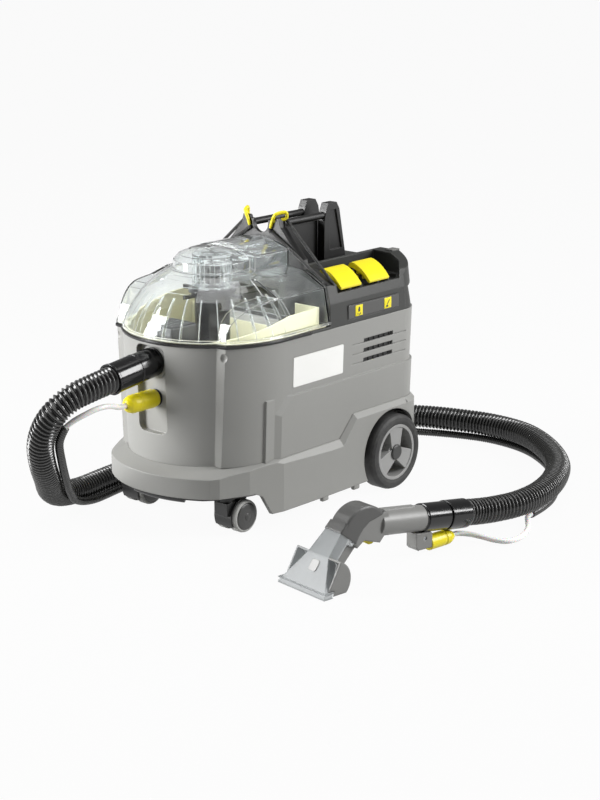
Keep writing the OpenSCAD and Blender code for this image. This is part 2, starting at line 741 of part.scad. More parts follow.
module holder_box() {
    color(jet) difference() {
        translate([52, -15, tray_z]) cube([73.9, 30, 68]);
        translate([55, -12, tray_z + 3]) cube([67.9, 24, 70]);
    }
}

// Each strap is an elastic loop: one strand before the plate, one behind it, and a hook over the plate
strap_r = 2.2;
strap_head = [[6.8, -20, 421], [25, -40, 436]];
strap_foot = [[7.6, -134, 352], [21, -136, 350]];
module strap(s) {
    color(jet) mirror([0, s > 0 ? 1 : 0, 0]) {
        for (k = [0, 1]) {
            bar(strap_head[k], strap_foot[k], strap_r);
            translate(strap_foot[k]) sphere(r = 2.8);
        }
    }
}

module pull_tab(s) {
    top = [[6.9, -31, 446], [24.5, -40, 449]];
    color(yellow) mirror([0, s > 0 ? 1 : 0, 0]) {
        for (k = [0, 1]) bar(strap_head[k] + unit(top[k] - strap_head[k]), top[k], 2.3);
        bar(top[0], top[1], 2.3);
        for (k = [0, 1]) translate(top[k]) sphere(r = 2.5);
    }
}

// ---- lid and what hangs in it --------------------------------------------------------------------

lid_z = rim_z + seal_h + 1.5;
lid_rear = deck_x - 0.8;
// Point of the lid's round front: a superellipse between rim and tower
function dome(t, d) = [tower_r + (barrel_r - tower_r) * pow(cos(t), 1.4) - d * cos(t),
    lid_z + 87.5 * pow(sin(t), 1.4) - d * sin(t)];

module lid_form(d) {
    side_x = front_x - 1;
    top_z = 348 - d;
    // round front
    intersection() {
        translate([front_x, 0, 0]) rotate_extrude($fn = 96)
            polygon(concat([[0, lid_z]], [for (t = [0 : 7.5 : 82.5]) dome(t, d)],
                [[tower_r, lid_z + 87.5 - d], [0, lid_z + 87.5 - d]]));
        translate([-300, -200, lid_z]) cube([300 + lid_rear - d, 400, 200]);
    }
    // side walls, ending forward in an arch
    intersection() {
        union() {
            translate([front_x, 0, lid_z])
                cylinder(h = top_z - lid_z, r1 = front_r - d, r2 = front_r - 10.5 - d, $fn = 96);
            along_x(side_x, lid_rear - side_x - d) polygon([[d - front_r, lid_z],
                [10.5 + d - front_r, top_z], [d - 94, 369 - d], [-62, 373 - d], [62, 373 - d],
                [94 - d, 369 - d],
                [front_r - 10.5 - d, top_z], [front_r - d, lid_z]]);
        }
        along_y(-200, 400) polygon(concat([[lid_rear - d, lid_z - 2], [strip_x + d, lid_z - 2]],
            [for (a = [0 : 6]) let (t = 15 * a) [front_x - 20 - (71 - d) * cos(t),
            lid_z + (55 - d) * sin(t)]],
            [[side_x, top_z], [side_x, 400], [lid_rear - d, 400]]));
    }
    // tower with a domed top
    translate([front_x, 0, 0]) rotate_extrude($fn = 96) polygon([[0, 330], [tower_r + 4 - d, 330],
        [tower_r - d, tower_z - d / 2],
        [tower_r - 8 - d, tower_z + 8 - d], [tower_r - 24 - d, tower_z + 14.5 - d], [0, tower_z + 18 - d]]);
    // duct from the tower to the rear
    along_x(front_x + 28 + d, lid_rear - front_x - 28 - 2 * d) polygon(concat([[-62 + d, 340]],
        [for (k = [-6 : 6]) let (y = k / 6 * (62 - d)) [y, duct_z - d - 13 * (k / 6) * (k / 6)]],
        [[62 - d, 340]]));
}

module lid_shell() {
    color([0.85, 0.88, 0.9, 0.35]) difference() {
        union() {
            lid_form(0);
            // flange round the lid's foot
            translate([0, 0, lid_z]) linear_extrude(4) rim_plan(1, lid_rear);
        }
        lid_form(lid_wall);
        translate([0, 0, -2]) intersection() {
            lid_form(lid_wall);
            translate([-300, -200, lid_z - 2]) cube([600, 400, 5]);
        }
        // relief over the deck's foot
        for (s = [0, 1]) mirror([0, s, 0]) translate([-45, 138, lid_z - 1]) cube([60, 12, 2]);
        translate([lid_rear - 10, -150, lid_z - 1]) cube([20, 300, 2]);
    }
}

module intake_pipe() {
    color(jet) translate([front_x, 0, 0]) difference() {
        union() {
            translate([0, 0, 262]) cylinder(h = 84, r = 27);
            translate([0, 0, 340]) cylinder(h = 5, r = 36);
            for (a = [0 : 90 : 270]) rotate(a) translate([26, -2, 336]) cube([34, 4, 6]);
        }
        translate([0, 0, 261]) cylinder(h = 90, r = 24);
    }
}

module filter_basket() {
    color([0.8, 0.82, 0.84]) translate([front_x, 0, 0]) difference() {
        translate([0, 0, 346]) cylinder(h = 52, r = 30);
        translate([0, 0, 349]) cylinder(h = 45, r = 28);
        translate([0, 0, 340]) cylinder(h = 20, r = 14);
        for (a = [0 : 30 : 330]) rotate(a) translate([20, -4, 354]) cube([20, 8, 34]);
    }
}

module float_ball() {
    color([0.9, 0.45, 0.15]) translate([front_x, 0, 366.4]) difference() {
        sphere(r = 17);
        sphere(r = 15.5);
    }
}

// Inside of the tank, t thick walls, flat before the ports
module tank_form(t, z0, z1) {
    c = wall + 1.5 + t;
    difference() {
        union() {
            barrel_form(c, z0, z1);
            body_form(c, z0, z1, strip_x + 14 + t, bay_rear - 1.5 - t);
        }
        translate([-300, -34.5 - t, z0 - 1]) cube([face_x + wall + 301.5 + t, 69 + 2 * t, z1 - z0 + 2]);
    }
}

module recovery_tank() {
    flange_z = rim_z + seal_h + 0.1;
    color([0.9, 0.89, 0.8]) difference() {
        union() {
            tank_form(0, foot_z + floor_t + 1, flange_z + 1.2);
            // flange on the bead and the housing's rim
            translate([0, 0, flange_z]) linear_extrude(1.2) rim_plan(-2, bay_rear - 1.5);
            // wall rising inside the lid, higher to the rear
            intersection() {
                along_y(-150, 300) polygon([[-215, flange_z], [-180, flange_z + 3], [-130, 303], [-70, 315],
                    [bay_rear - 1.5, 318], [bay_rear - 1.5, flange_z]]);
                union() {
                    translate([front_x, 0, rim_z]) cylinder(h = 60, r = 128, $fn = 128);
                    translate([front_x, -128, rim_z]) cube([200, 256, 60]);
                }
            }
        }
        tank_form(3, foot_z + floor_t + 4, flange_z + 2);
        translate([front_x, 0, rim_z - 10]) cylinder(h = 80, r = 125, $fn = 128);
        translate([front_x, -125, rim_z - 10]) cube([bay_rear - 4.5 - front_x, 250, 80]);
        // inlet behind the suction port
        translate([face_x, 0, port_z]) rotate([0, 90, 0]) cylinder(h = 20, r = 22);
    }
}

// ---- hand tool, drawn with its mouth at the origin and its handle along +X ------------------------

module at_tool() {
    translate([tool_at[0], tool_at[1], 0]) rotate(-tool_yaw) children();
}

// Section of the nozzle where its flare ends, inset by d
module throat(d) {
    along_y(d - 20.5, 41 - 2 * d) polygon([[28 + d, 44], [30 + d, 46.5], [46 - d, 38.5], [44 - d, 35.5]]);
}

// Flattened funnel: a flared mouth, then a narrow part up to the neck, inset by d
module nozzle_form(d) {
    hull() {
        translate([d - 2, d - nozzle_w / 2, -d]) cube([16 - 2 * d, nozzle_w - 2 * d, 2.5 + 2 * d]);
        throat(d);
    }
    hull() {
        throat(d);
        along_y(d - 16, 32 - 2 * d) polygon([[54 + d, 70], [57 + d, 73.5], [73 - d, 61], [70 - d, 57.5]]);
    }
}

module nozzle_shell() {
    color([0.85, 0.87, 0.88, 0.4]) at_tool() difference() {
        union() {
            nozzle_form(0);
            // stiffening bead above the mouth
            hull() {
                translate([-1, -nozzle_w / 2 - 0.8, 7]) cube([2, nozzle_w + 1.6, 1.5]);
                translate([14, -nozzle_w / 2 - 0.8, 7]) cube([2, nozzle_w + 1.6, 1.5]);
            }
            // tongue that clips to the elbow
            along_y(-12, 24) polygon([[68, 59], [71, 62.56], [84.5, 52.04], [81, 48], [73, 52]]);
        }
        nozzle_form(2);
    }
}

// Curved hood behind the mouth that keeps the spray on the fabric
module hood_plan(r) {
    intersection() {
        translate([21, 21]) circle(r = r);
        polygon([[4, 0], [32, 49], [80, 49], [80, 0]]);
    }
}

module spray_shield() {
    color([0.42, 0.42, 0.41]) at_tool() difference() {
        along_y(-45, 90) hood_plan(28);
        along_y(-42.5, 85) hood_plan(25.5);
        // open foot
        translate([-20, -60, -40]) cube([120, 120, 41]);
        nozzle_form(-0.2);
        translate([-2, -60, 6.8]) cube([18.3, 120, 1.9]);
        // room for the spray arm
        along_y(-9.2, 18.4) polygon([[40, 12], [75, 12], [90, 60], [40, 60]]);
    }
}

// Way of the dirty water through elbow and handle
elbow_way = [[58, 0, 58], [80, 0, 77], [104, 0, 82], handle_a];
module suction_way() {
    for (i = [0 : 2]) bar(elbow_way[i], elbow_way[i + 1], 9);
    for (i = [1 : 2]) translate(elbow_way[i]) sphere(r = 9.4);
}

jet_at = [41.5, 0, 17];
module spray_jet() {
    color(jet) at_tool() translate(jet_at) rotate([0, 200, 0]) {
        cylinder(h = 9, r = 4, $fn = 32);
        translate([0, 0, 9]) cylinder(h = 5, r1 = 3.5, r2 = 2.5, $fn = 32);
    }
}

// Edge between the elbow's dark cap and the grey body below it
cap_edge = [[143.5, 86.5], [125, 82], [110, 79], [98, 71], [90, 62], [84.5, 52.04]];
cap_at = [103, 61];
cap_r = 42;

module tool_elbow() {
    color([0.3, 0.3, 0.29]) at_tool() difference() {
        along_y(-16.5, 33) polygon(concat([[55.8, 74.44], [65, 83]], [for (a = [141 : -12 : 45])
            [cap_at[0] + cap_r * cos(a), cap_at[1] + cap_r * sin(a)]], cap_edge));
        // rounded shoulders
        for (s = [0, 1]) mirror([0, s, 0]) translate([cap_at[0], 13, cap_at[1]]) rotate([-90, 0, 0])
            difference() {
            translate([-36, -80, 0]) cube([80, 80, 20]);
            rotate_extrude($fn = 96) polygon([[0, -1], [cap_r + 0.5, -1], [cap_r, 1], [cap_r - 1.2, 2.6],
                [cap_r - 3.5, 3.6],
                [0, 3.6]]);
        }
        suction_way();
        // seat of the handle's tube
        translate(handle_a) rotate([0, handle_tilt, 0]) cylinder(h = 30, r = handle_d / 2);
    }
}

module tool_handle() {
    color([0.5, 0.5, 0.49]) at_tool() difference() {
        union() {
            // lower half of the elbow with the trigger's housing
            along_y(-15, 30) polygon(concat(cap_edge, [[88, 44.5], [101, 53], [131, 43], [140, 52],
                [148, 50], [148, 84]]));
            // spray arm down the nozzle's back
            along_y(-9, 18) polygon([[90, 60], [85, 51.5], [81, 47], [74, 49], [52, 31], [44, 27],
                [40, 22], [42, 14], [52, 12.5],
                [58, 16], [71, 27], [88, 43.5], [101, 53]]);
            translate(handle_a) rotate([0, handle_tilt, 0]) {
                cylinder(h = norm(handle_b - handle_a), r = handle_d / 2);
                cylinder(h = norm(handle_b - handle_a) + 20, r = handle_d / 2 - 3);
                // flattened grip line on top
                translate([-handle_d / 2 - 1, -5, 8]) cube([6, 10, 64]);
            }
        }
        suction_way();
        translate(handle_a) rotate([0, handle_tilt, 0]) cylinder(h = 160, r = 13.5);
        // trigger slot and the holes of its pin
        translate([101.5, -7, 36]) cube([29, 14, 25]);
        drum_y(125.5, -10, 50, 20, 2.05, $fn = 32);
        // seat of the spray jet
        translate(jet_at) rotate([0, 200, 0]) translate([0, 0, -0.02]) cylinder(h = 30, r = 6, $fn = 32);
    }
}

module spray_trigger() {
    color(yellow) at_tool() {
        along_y(-6.5, 13) polygon([[102.5, 55], [103, 50.5], [110, 46], [118, 41], [124, 41], [129, 44],
            [129.5, 51], [126.5, 54],
            [112, 57]]);
        drum_y(125.5, -9.5, 50, 19, 2, $fn = 32);
    }
}

module valve_block() {
    color([0.36, 0.36, 0.36]) at_tool() difference() {
        union() {
            along_y(-10, 20) polygon([[208, 14], [212, 9.5], [240, 9], [240, 30], [237, 33], [208, 36]]);
            along_y(-8, 16) polygon([[210, 30], [236, 30], [236, 50], [210, 50]]);
            translate([239, 0, coupling_z]) rotate([0, 90, 0]) cylinder(h = 16, r = 6);
        }
        translate(handle_a) rotate([0, handle_tilt, 0]) cylinder(h = norm(handle_b - handle_a) + 0.02,
            r = handle_d / 2);
        translate(handle_a) rotate([0, handle_tilt, 0]) cylinder(h = 200, r = cuff_r);
        // screw sockets
        for (y = [-11, 7]) drum_y(226, y, 25, 4, 3, $fn = 32);
        translate([238, 0, coupling_z]) rotate([0, 90, 0]) cylinder(h = 20, r = 3.5);
    }
}

module tool_cuff() {
    color(jet) at_tool() translate(handle_b) rotate([0, handle_tilt, 0]) rotate_extrude()
        polygon([[16.05, 0], [19, 0],
        [19.6, 0.5], [19.6, 3], [cuff_r, 3.5], [cuff_r, cuff_len], [19.6, cuff_len + 0.5],
        [19.6, cuff_len + 3],
        [15, cuff_len + 3], [15, 21], [16.05, 21]]);
}

module tool_coupling() {
    color(yellow) at_tool() translate([240.2, 0, coupling_z]) rotate([0, 90, 0]) rotate_extrude()
        polygon([[6.05, 0], [10.7, 0], [11.4, 1], [11.4, 27], [10.5, 28.5], [10.5, 31], [11.4, 32.5],
            [11, 40], [9.2, 45],
            [7.2, 48.5], [6, 50], [5, 50], [5, 30], [4.1, 30], [4.1, 16], [6.05, 16]]);
}

// ---- hoses -----------------------------------------------------------------------------------

module hose_cuff_machine() {
    color(jet) {
        translate([face_x + 3, 0, port_z]) rotate([0, -90, 0]) rotate_extrude()
            polygon([[17, 0], [20.95, 0], [20.95, 10.5], [17, 10.5]]);
        translate([face_x - 7.5, 0, port_z]) rotate([0, -97, 0]) rotate_extrude()
            polygon([[16, -1.5], [19, -1.5], [22, 1.5], [22, 34], [22.8, 34.5], [22.8, 36.5], [22, 37],
                [22.4, 38],
                [22.4, 80], [23.4, 81], [23.4, 84], [20.4, 84], [20.4, 70], [16, 70]]);
    }
}

module hose_cuff_tool() {
    color([0.12, 0.12, 0.12]) at_tool() translate(on_handle(cuff_len + 3.2)) rotate([0, handle_tilt, 0])
        rotate_extrude() polygon([[15, 0], [21.5, 0], [22, 0.5], [22, 40], [21.4, 42], [20.4, 42],
            [20.4, 30], [15, 30]]);
}

module water_coupling() {
    color(yellow) translate([face_x, 0, socket_z]) rotate([0, -90, 0]) rotate_extrude()
        polygon([[4.1, -3], [7.95, -3],
        [7.95, 4.2], [13, 4.2], [13, 7.5], [14, 8.5], [14, 36], [13.2, 38], [13.2, 41], [14, 42],
        [13.6, 51], [11.5, 57],
        [8, 61], [6, 62.5], [5, 62.5], [5, 50], [4.1, 50]]);
}

suction_route = [[-302, 0, 246], [-325, 0, 243], [-352, 3, 238], [-378, 9, 230], [-398, 20, 213],
    [-405, 38, 187],
    [-400, 56, 155], [-380, 76, 118], [-352, 100, 84], [-319.5, 130.5, 52.6], [-278.5, 155, 30.6],
    [-226, 168.5, 21], [-160, 179, 20],
    [-80, 188, 20], [0, 197, 20], [80, 202, 20], [160, 203, 20], [235, 190, 20], [308, 153, 21],
    [374, 91, 25],
    [415, 9, 31], [437, -68, 34], [451, -137, 34], [441, -211, 34], [398, -282, 34], [335, -345, 34],
    [263, -384, 34],
    [193, -404, 34], [134, -406, 34], [88, -396, 35], [58, -387, 37], [38, -383, 40], [17, -380, 43]];
sleeve_route = [[-382, 22, 184], [-380, 38, 158], [-361, 56, 122], [-334, 80, 85], [-302, 108, 50],
    [-268, 131, 22],
    [-222, 143, 9], [-157, 154, 8], [-77, 164, 8], [2, 173, 8], [80, 178, 8], [156, 178, 8], [224, 167, 8],
    [294, 133, 8],
    [355, 78, 7], [401, 3, 7], [435, -69, 7], [451, -137, 7], [440, -211, 7], [397, -282, 7],
    [334, -344, 7],
    [263, -384, 7], [215, -399, 7], [172, -405, 7]];
front_route = [[-280, 0, 200], [-292, 0, 200], [-303, -3, 202.5], [-318, -8, 208], [-334, -10, 211],
    [-350, -8, 210], [-365, -1, 204], [-376, 9, 196], [-382, 20, 186]];
rear_route = [[171, -405, 7], [158, -408, 7], [140, -420, 6], [120, -434, 6], [96, -445, 6], [70, -450, 6],
    [50, -444, 6], [40, -428, 7], [35, -409, 9], [27, -391, 11], [15, -380, 12.4], [3, -378, 12.4]];

module suction_hose() {
    color(jet) swept_tube(suction_route, hose_d / 2, 12, 2);
}

module water_sleeve() {
    color([0.13, 0.13, 0.13]) swept_tube(sleeve_route, 6.5, 8, 2);
}

module water_hose_front() {
    color([0.92, 0.92, 0.9]) swept_tube(front_route, spray_d / 2, 8, 2);
}

module water_hose_rear() {
    color([0.92, 0.92, 0.9]) swept_tube(rear_route, spray_d / 2, 8, 2);
}

// ---- nodes -----------------------------------------------------------------------------------

translate(origin_shift) housing();
translate(origin_shift) base_skirt();
translate(origin_shift) base_pan();
translate(origin_shift) rim_seal();
translate(origin_shift) control_deck();
translate(origin_shift) switch_strip();
translate(origin_shift) badge_plate();
translate(origin_shift) vent_grilles();
translate(origin_shift) deck_clip();
translate(origin_shift) hose_port();
translate(origin_shift) water_socket();
translate(origin_shift) vacuum_motor();
translate(origin_shift) spray_pump();
translate(origin_shift) battery_pack();
translate(origin_shift) battery_door();
translate(origin_shift) rear_axle();
translate(origin_shift) tyre(-1);  // tyre_near
translate(origin_shift) rim(-1);  // rim_near
translate(origin_shift) hub(-1);  // hub_near
translate(origin_shift) tyre(1);  // tyre_far
translate(origin_shift) rim(1);  // rim_far
translate(origin_shift) hub(1);  // hub_far
translate(origin_shift) caster_hood(-1);  // caster_hood_near
translate(origin_shift) caster_wheels(-1);  // caster_wheels_near
translate(origin_shift) caster_tyres(-1);  // caster_tyres_near
translate(origin_shift) caster_hood(1);  // caster_hood_far
translate(origin_shift) caster_wheels(1);  // caster_wheels_far
translate(origin_shift) caster_tyres(1);  // caster_tyres_far
translate(origin_shift) rocker(rocker_x[0]);  // rocker_spray
translate(origin_shift) rocker(rocker_x[1]);  // rocker_suction
translate(origin_shift) holder_frame();
translate(origin_shift) holder_box();
translate(origin_shift) strap(-1);  // strap_near
translate(origin_shift) strap(1);  // strap_far
translate(origin_shift) pull_tab(-1);  // pull_tab_near
translate(origin_shift) pull_tab(1);  // pull_tab_far
translate(origin_shift) lid_shell();
translate(origin_shift) intake_pipe();
translate(origin_shift) filter_basket();
translate(origin_shift) float_ball();
translate(origin_shift) recovery_tank();
translate(origin_shift) nozzle_shell();
translate(origin_shift) spray_shield();
translate(origin_shift) spray_jet();
translate(origin_shift) tool_elbow();
translate(origin_shift) tool_handle();
translate(origin_shift) valve_block();
translate(origin_shift) spray_trigger();
translate(origin_shift) tool_cuff();
translate(origin_shift) tool_coupling();
translate(origin_shift) suction_hose();
translate(origin_shift) hose_cuff_machine();
translate(origin_shift) hose_cuff_tool();
translate(origin_shift) water_sleeve();
translate(origin_shift) water_hose_front();
translate(origin_shift) water_hose_rear();
translate(origin_shift) water_coupling();
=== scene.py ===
import math

import bmesh
import bpy
from mathutils import Matrix, Vector


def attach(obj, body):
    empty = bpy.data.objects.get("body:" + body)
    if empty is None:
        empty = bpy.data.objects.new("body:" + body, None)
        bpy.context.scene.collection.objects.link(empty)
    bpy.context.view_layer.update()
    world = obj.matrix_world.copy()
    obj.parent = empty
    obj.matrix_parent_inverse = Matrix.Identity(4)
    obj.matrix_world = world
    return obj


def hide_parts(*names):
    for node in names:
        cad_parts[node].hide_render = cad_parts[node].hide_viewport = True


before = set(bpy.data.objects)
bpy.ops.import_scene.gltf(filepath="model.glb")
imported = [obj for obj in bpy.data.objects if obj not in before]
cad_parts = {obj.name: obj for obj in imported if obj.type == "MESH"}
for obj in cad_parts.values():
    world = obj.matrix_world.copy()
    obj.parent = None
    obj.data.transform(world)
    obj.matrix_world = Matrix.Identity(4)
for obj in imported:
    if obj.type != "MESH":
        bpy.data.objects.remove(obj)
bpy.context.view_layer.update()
print("frame: the packed machine is loaded")

# Route points and sizes below are in millimetres in the machine's own frame: +X to the rear,
# +Y to the far side, floor at 0. at() brings them to the shared frame in metres.
originShift = Vector((23.8304225, 116.553575, 0))
# The hand tool lies beside the machine. Its own frame starts at the nozzle's mouth and runs along it.
toolPlace = Matrix.Translation((-283, -338, 0)) @ Matrix.Rotation(math.radians(-8), 4, "Z")


def at(x, y, z):
    return (Vector((x, y, z)) + originShift) / 1000


def onTool(x, y, z):
    return at(*(toolPlace @ Vector((x, y, z))))


# Camera

view = {"azimuth": -48.94, "elevation": 15.6, "distanceMm": 2808, "lensMm": 80.685, "sensorMm": 36,
        "aimMm": (0, 0, 200), "rightMm": 66.4, "upMm": -49.2}

azimuth, elevation = math.radians(view["azimuth"]), math.radians(view["elevation"])
back = Vector((math.sin(azimuth) * math.cos(elevation), -math.cos(azimuth) * math.cos(elevation),
               math.sin(elevation)))
right = Vector((math.cos(azimuth), math.sin(azimuth), 0))
upward = back.cross(right)
cameraData = bpy.data.cameras.new("camera")
cameraData.lens = view["lensMm"]
cameraData.sensor_width = view["sensorMm"]
camera = bpy.data.objects.new("camera", cameraData)
place = Vector(view["aimMm"]) + back * view["distanceMm"] + right * view["rightMm"] + upward * view["upMm"]
camera.matrix_world = Matrix.Translation(at(*place)) @ Matrix((right, upward, back)).transposed().to_4x4()
bpy.context.scene.collection.objects.link(camera)
bpy.context.scene.camera = camera
bpy.context.scene.view_settings.view_transform = "Standard"
print("camera: placed")


# Materials

def toLinear(hexColour):
    channels = [int(hexColour[i:i + 2], 16) / 255 for i in (1, 3, 5)]
    return [c / 12.92 if c <= 0.04045 else ((c + 0.055) / 1.055) ** 2.4 for c in channels] + [1.0]


def addNode(owner, kind, settings=None, inputs=None):
    node = owner.node_tree.nodes.new(kind)
    for key, value in (settings or {}).items():
        setattr(node, key, value)
    for key, value in (inputs or {}).items():
        if isinstance(value, bpy.types.NodeSocket):
            owner.node_tree.links.new(value, node.inputs[key])
        else:
            node.inputs[key].default_value = value
    return node


def newMaterial(name):
    material = bpy.data.materials.new(name)
    material.use_nodes = True
    material.node_tree.nodes.clear()
    return material


def finishMaterial(material, shader):
    addNode(material, "ShaderNodeOutputMaterial", inputs={"Surface": shader})
    return material


# In the moulded and the clear plastics a dot product of the rounded and the true normal finds the edges:
# it is 1 on a flat face and falls where the surface turns. Bevel rays are few, because they are slow.
edgeFinder = {"rays": 4, "mouldedFlat": 0.995, "mouldedEdge": 0.86, "clearFlat": 0.98, "clearEdge": 0.8}

# Injection moulded plastic: an eroded or polished tool leaves a fine even grain, the colour drifts a
# little over a hand's width, and edges that hands and door frames rub turn paler.
mouldSurface = {"scuffMm": 9, "grainHeightMm": 0.3}


def mouldedPlastic(name, look):
    material = newMaterial(name)
    coords = addNode(material, "ShaderNodeTexCoord").outputs["Object"]
    drift = addNode(material, "ShaderNodeTexNoise",
                    inputs={"Vector": coords, "Scale": 1000 / look["driftMm"], "Detail": 3.0})
    grain = addNode(material, "ShaderNodeTexNoise",
                    inputs={"Vector": coords, "Scale": 1000 / look["grainMm"], "Detail": 2.0,
                            "Roughness": 0.6})
    scuffs = addNode(material, "ShaderNodeTexNoise",
                     inputs={"Vector": coords, "Scale": 1000 / mouldSurface["scuffMm"], "Detail": 8.0,
                             "Roughness": 0.75, "Distortion": 1.2})
    soft = addNode(material, "ShaderNodeBevel", {"samples": edgeFinder["rays"]},
                   {"Radius": look["edgeMm"] / 1000})
    shape = addNode(material, "ShaderNodeNewGeometry")
    turned = addNode(material, "ShaderNodeVectorMath", {"operation": "DOT_PRODUCT"},
                     {0: soft.outputs["Normal"], 1: shape.outputs["Normal"]})
    rub = addNode(material, "ShaderNodeMapRange",
                  inputs={"Value": turned.outputs["Value"], "From Min": edgeFinder["mouldedFlat"],
                          "From Max": edgeFinder["mouldedEdge"], "To Min": 0.0, "To Max": look["rub"]})
    worn = addNode(material, "ShaderNodeMath", {"operation": "MULTIPLY"},
                   {0: rub.outputs["Result"], 1: scuffs.outputs["Fac"]})
    body = addNode(material, "ShaderNodeMix", {"data_type": "RGBA"},
                   {"Factor": drift.outputs["Fac"], "A": toLinear(look["colour"]),
                    "B": toLinear(look["second"])})
    edged = addNode(material, "ShaderNodeMix", {"data_type": "RGBA"},
                    {"Factor": worn.outputs["Value"], "A": body.outputs["Result"],
                     "B": toLinear(look["worn"])})
    gloss = addNode(material, "ShaderNodeMapRange",
                    inputs={"Value": scuffs.outputs["Fac"], "From Min": 0.3, "From Max": 0.7,
                            "To Min": look["gloss"][0], "To Max": look["gloss"][1]})
    bump = addNode(material, "ShaderNodeBump",
                   inputs={"Strength": look["grainDepth"], "Distance": mouldSurface["grainHeightMm"] / 1000,
                           "Height": grain.outputs["Fac"], "Normal": soft.outputs["Normal"]})
    shader = addNode(material, "ShaderNodeBsdfPrincipled",
                     inputs={"Base Color": edged.outputs["Result"], "Roughness": gloss.outputs["Result"],
                             "Normal": bump.outputs["Normal"], "IOR": look["ior"]})
    return finishMaterial(material, shader.outputs["BSDF"])


# Clear moulded sheet: it bends what lies behind it, so that walls, ribs and corners show as bright and dark
# lines, and it carries a faint haze of fine rubs. Its corners are also painted less clear and whitish, a
# painted highlight.
# Lamps shine on through it, so the inside is lit.
clearSheet = {"waveMm": 45, "waveHeightMm": 1.0, "lampShare": 0.92}


def clearPlastic(name, look):
    material = newMaterial(name)
    coords = addNode(material, "ShaderNodeTexCoord").outputs["Object"]
    haze = addNode(material, "ShaderNodeTexNoise",
                   inputs={"Vector": coords, "Scale": 1000 / look["hazeMm"], "Detail": 6.0})
    waves = addNode(material, "ShaderNodeTexNoise",
                    inputs={"Vector": coords, "Scale": 1000 / clearSheet["waveMm"], "Detail": 1.0})
    edge = addNode(material, "ShaderNodeBevel", {"samples": edgeFinder["rays"]},
                   {"Radius": look["edgeMm"] / 1000})
    shape = addNode(material, "ShaderNodeNewGeometry")
    turned = addNode(material, "ShaderNodeVectorMath", {"operation": "DOT_PRODUCT"},
                     {0: edge.outputs["Normal"], 1: shape.outputs["Normal"]})
    # painted highlight: where the surface turns, the sheet is made less clear and shows its whitish base
    # colour
    edgeHighlight = addNode(material, "ShaderNodeMapRange",
                     inputs={"Value": turned.outputs["Value"], "From Min": edgeFinder["clearFlat"],
                             "From Max": edgeFinder["clearEdge"], "To Min": 0.0,
                             "To Max": look["cornerPaintedHighlight"]})
    hazed = addNode(material, "ShaderNodeMapRange",
                    inputs={"Value": haze.outputs["Fac"], "From Min": 0.5, "From Max": 0.8,
                            "To Min": look["haze"][0], "To Max": look["haze"][1]})
    # real haze of rubs together with the painted edge highlight
    hazeAndEdgeHighlight = addNode(material, "ShaderNodeMath", {"operation": "MAXIMUM"},
                    {0: edgeHighlight.outputs["Result"], 1: hazed.outputs["Result"]})
    clear = addNode(material, "ShaderNodeMath", {"operation": "SUBTRACT"},
                    {0: 1.0, 1: hazeAndEdgeHighlight.outputs["Value"]})
    rays = addNode(material, "ShaderNodeLightPath")
    solid = addNode(material, "ShaderNodeMath", {"operation": "MULTIPLY_ADD"},
                    {0: rays.outputs["Is Shadow Ray"], 1: -clearSheet["lampShare"], 2: 1.0})
    bump = addNode(material, "ShaderNodeBump",
                   inputs={"Strength": look["waviness"], "Distance": clearSheet["waveHeightMm"] / 1000,
                           "Height": waves.outputs["Fac"], "Normal": edge.outputs["Normal"]})
    shader = addNode(material, "ShaderNodeBsdfPrincipled",
                     inputs={"Base Color": toLinear(look["colour"]), "Roughness": look["gloss"],
                             "IOR": look["ior"], "Transmission Weight": clear.outputs["Value"],
                             "Alpha": solid.outputs["Value"], "Normal": bump.outputs["Normal"]})
    return finishMaterial(material, shader.outputs["BSDF"])


# Extruded or blown hose plastic: shiny and dusty in large patches. On a black hose the crests of the ribs are
# painted paler, a painted highlight for the light that catches them.
hoseSurface = {"dustMm": 60, "grainMm": 1.5, "grainHeightMm": 0.2, "glowMm": 3.0, "ior": 1.5,
               "crestFrom": 0.1, "crestTo": 0.95}


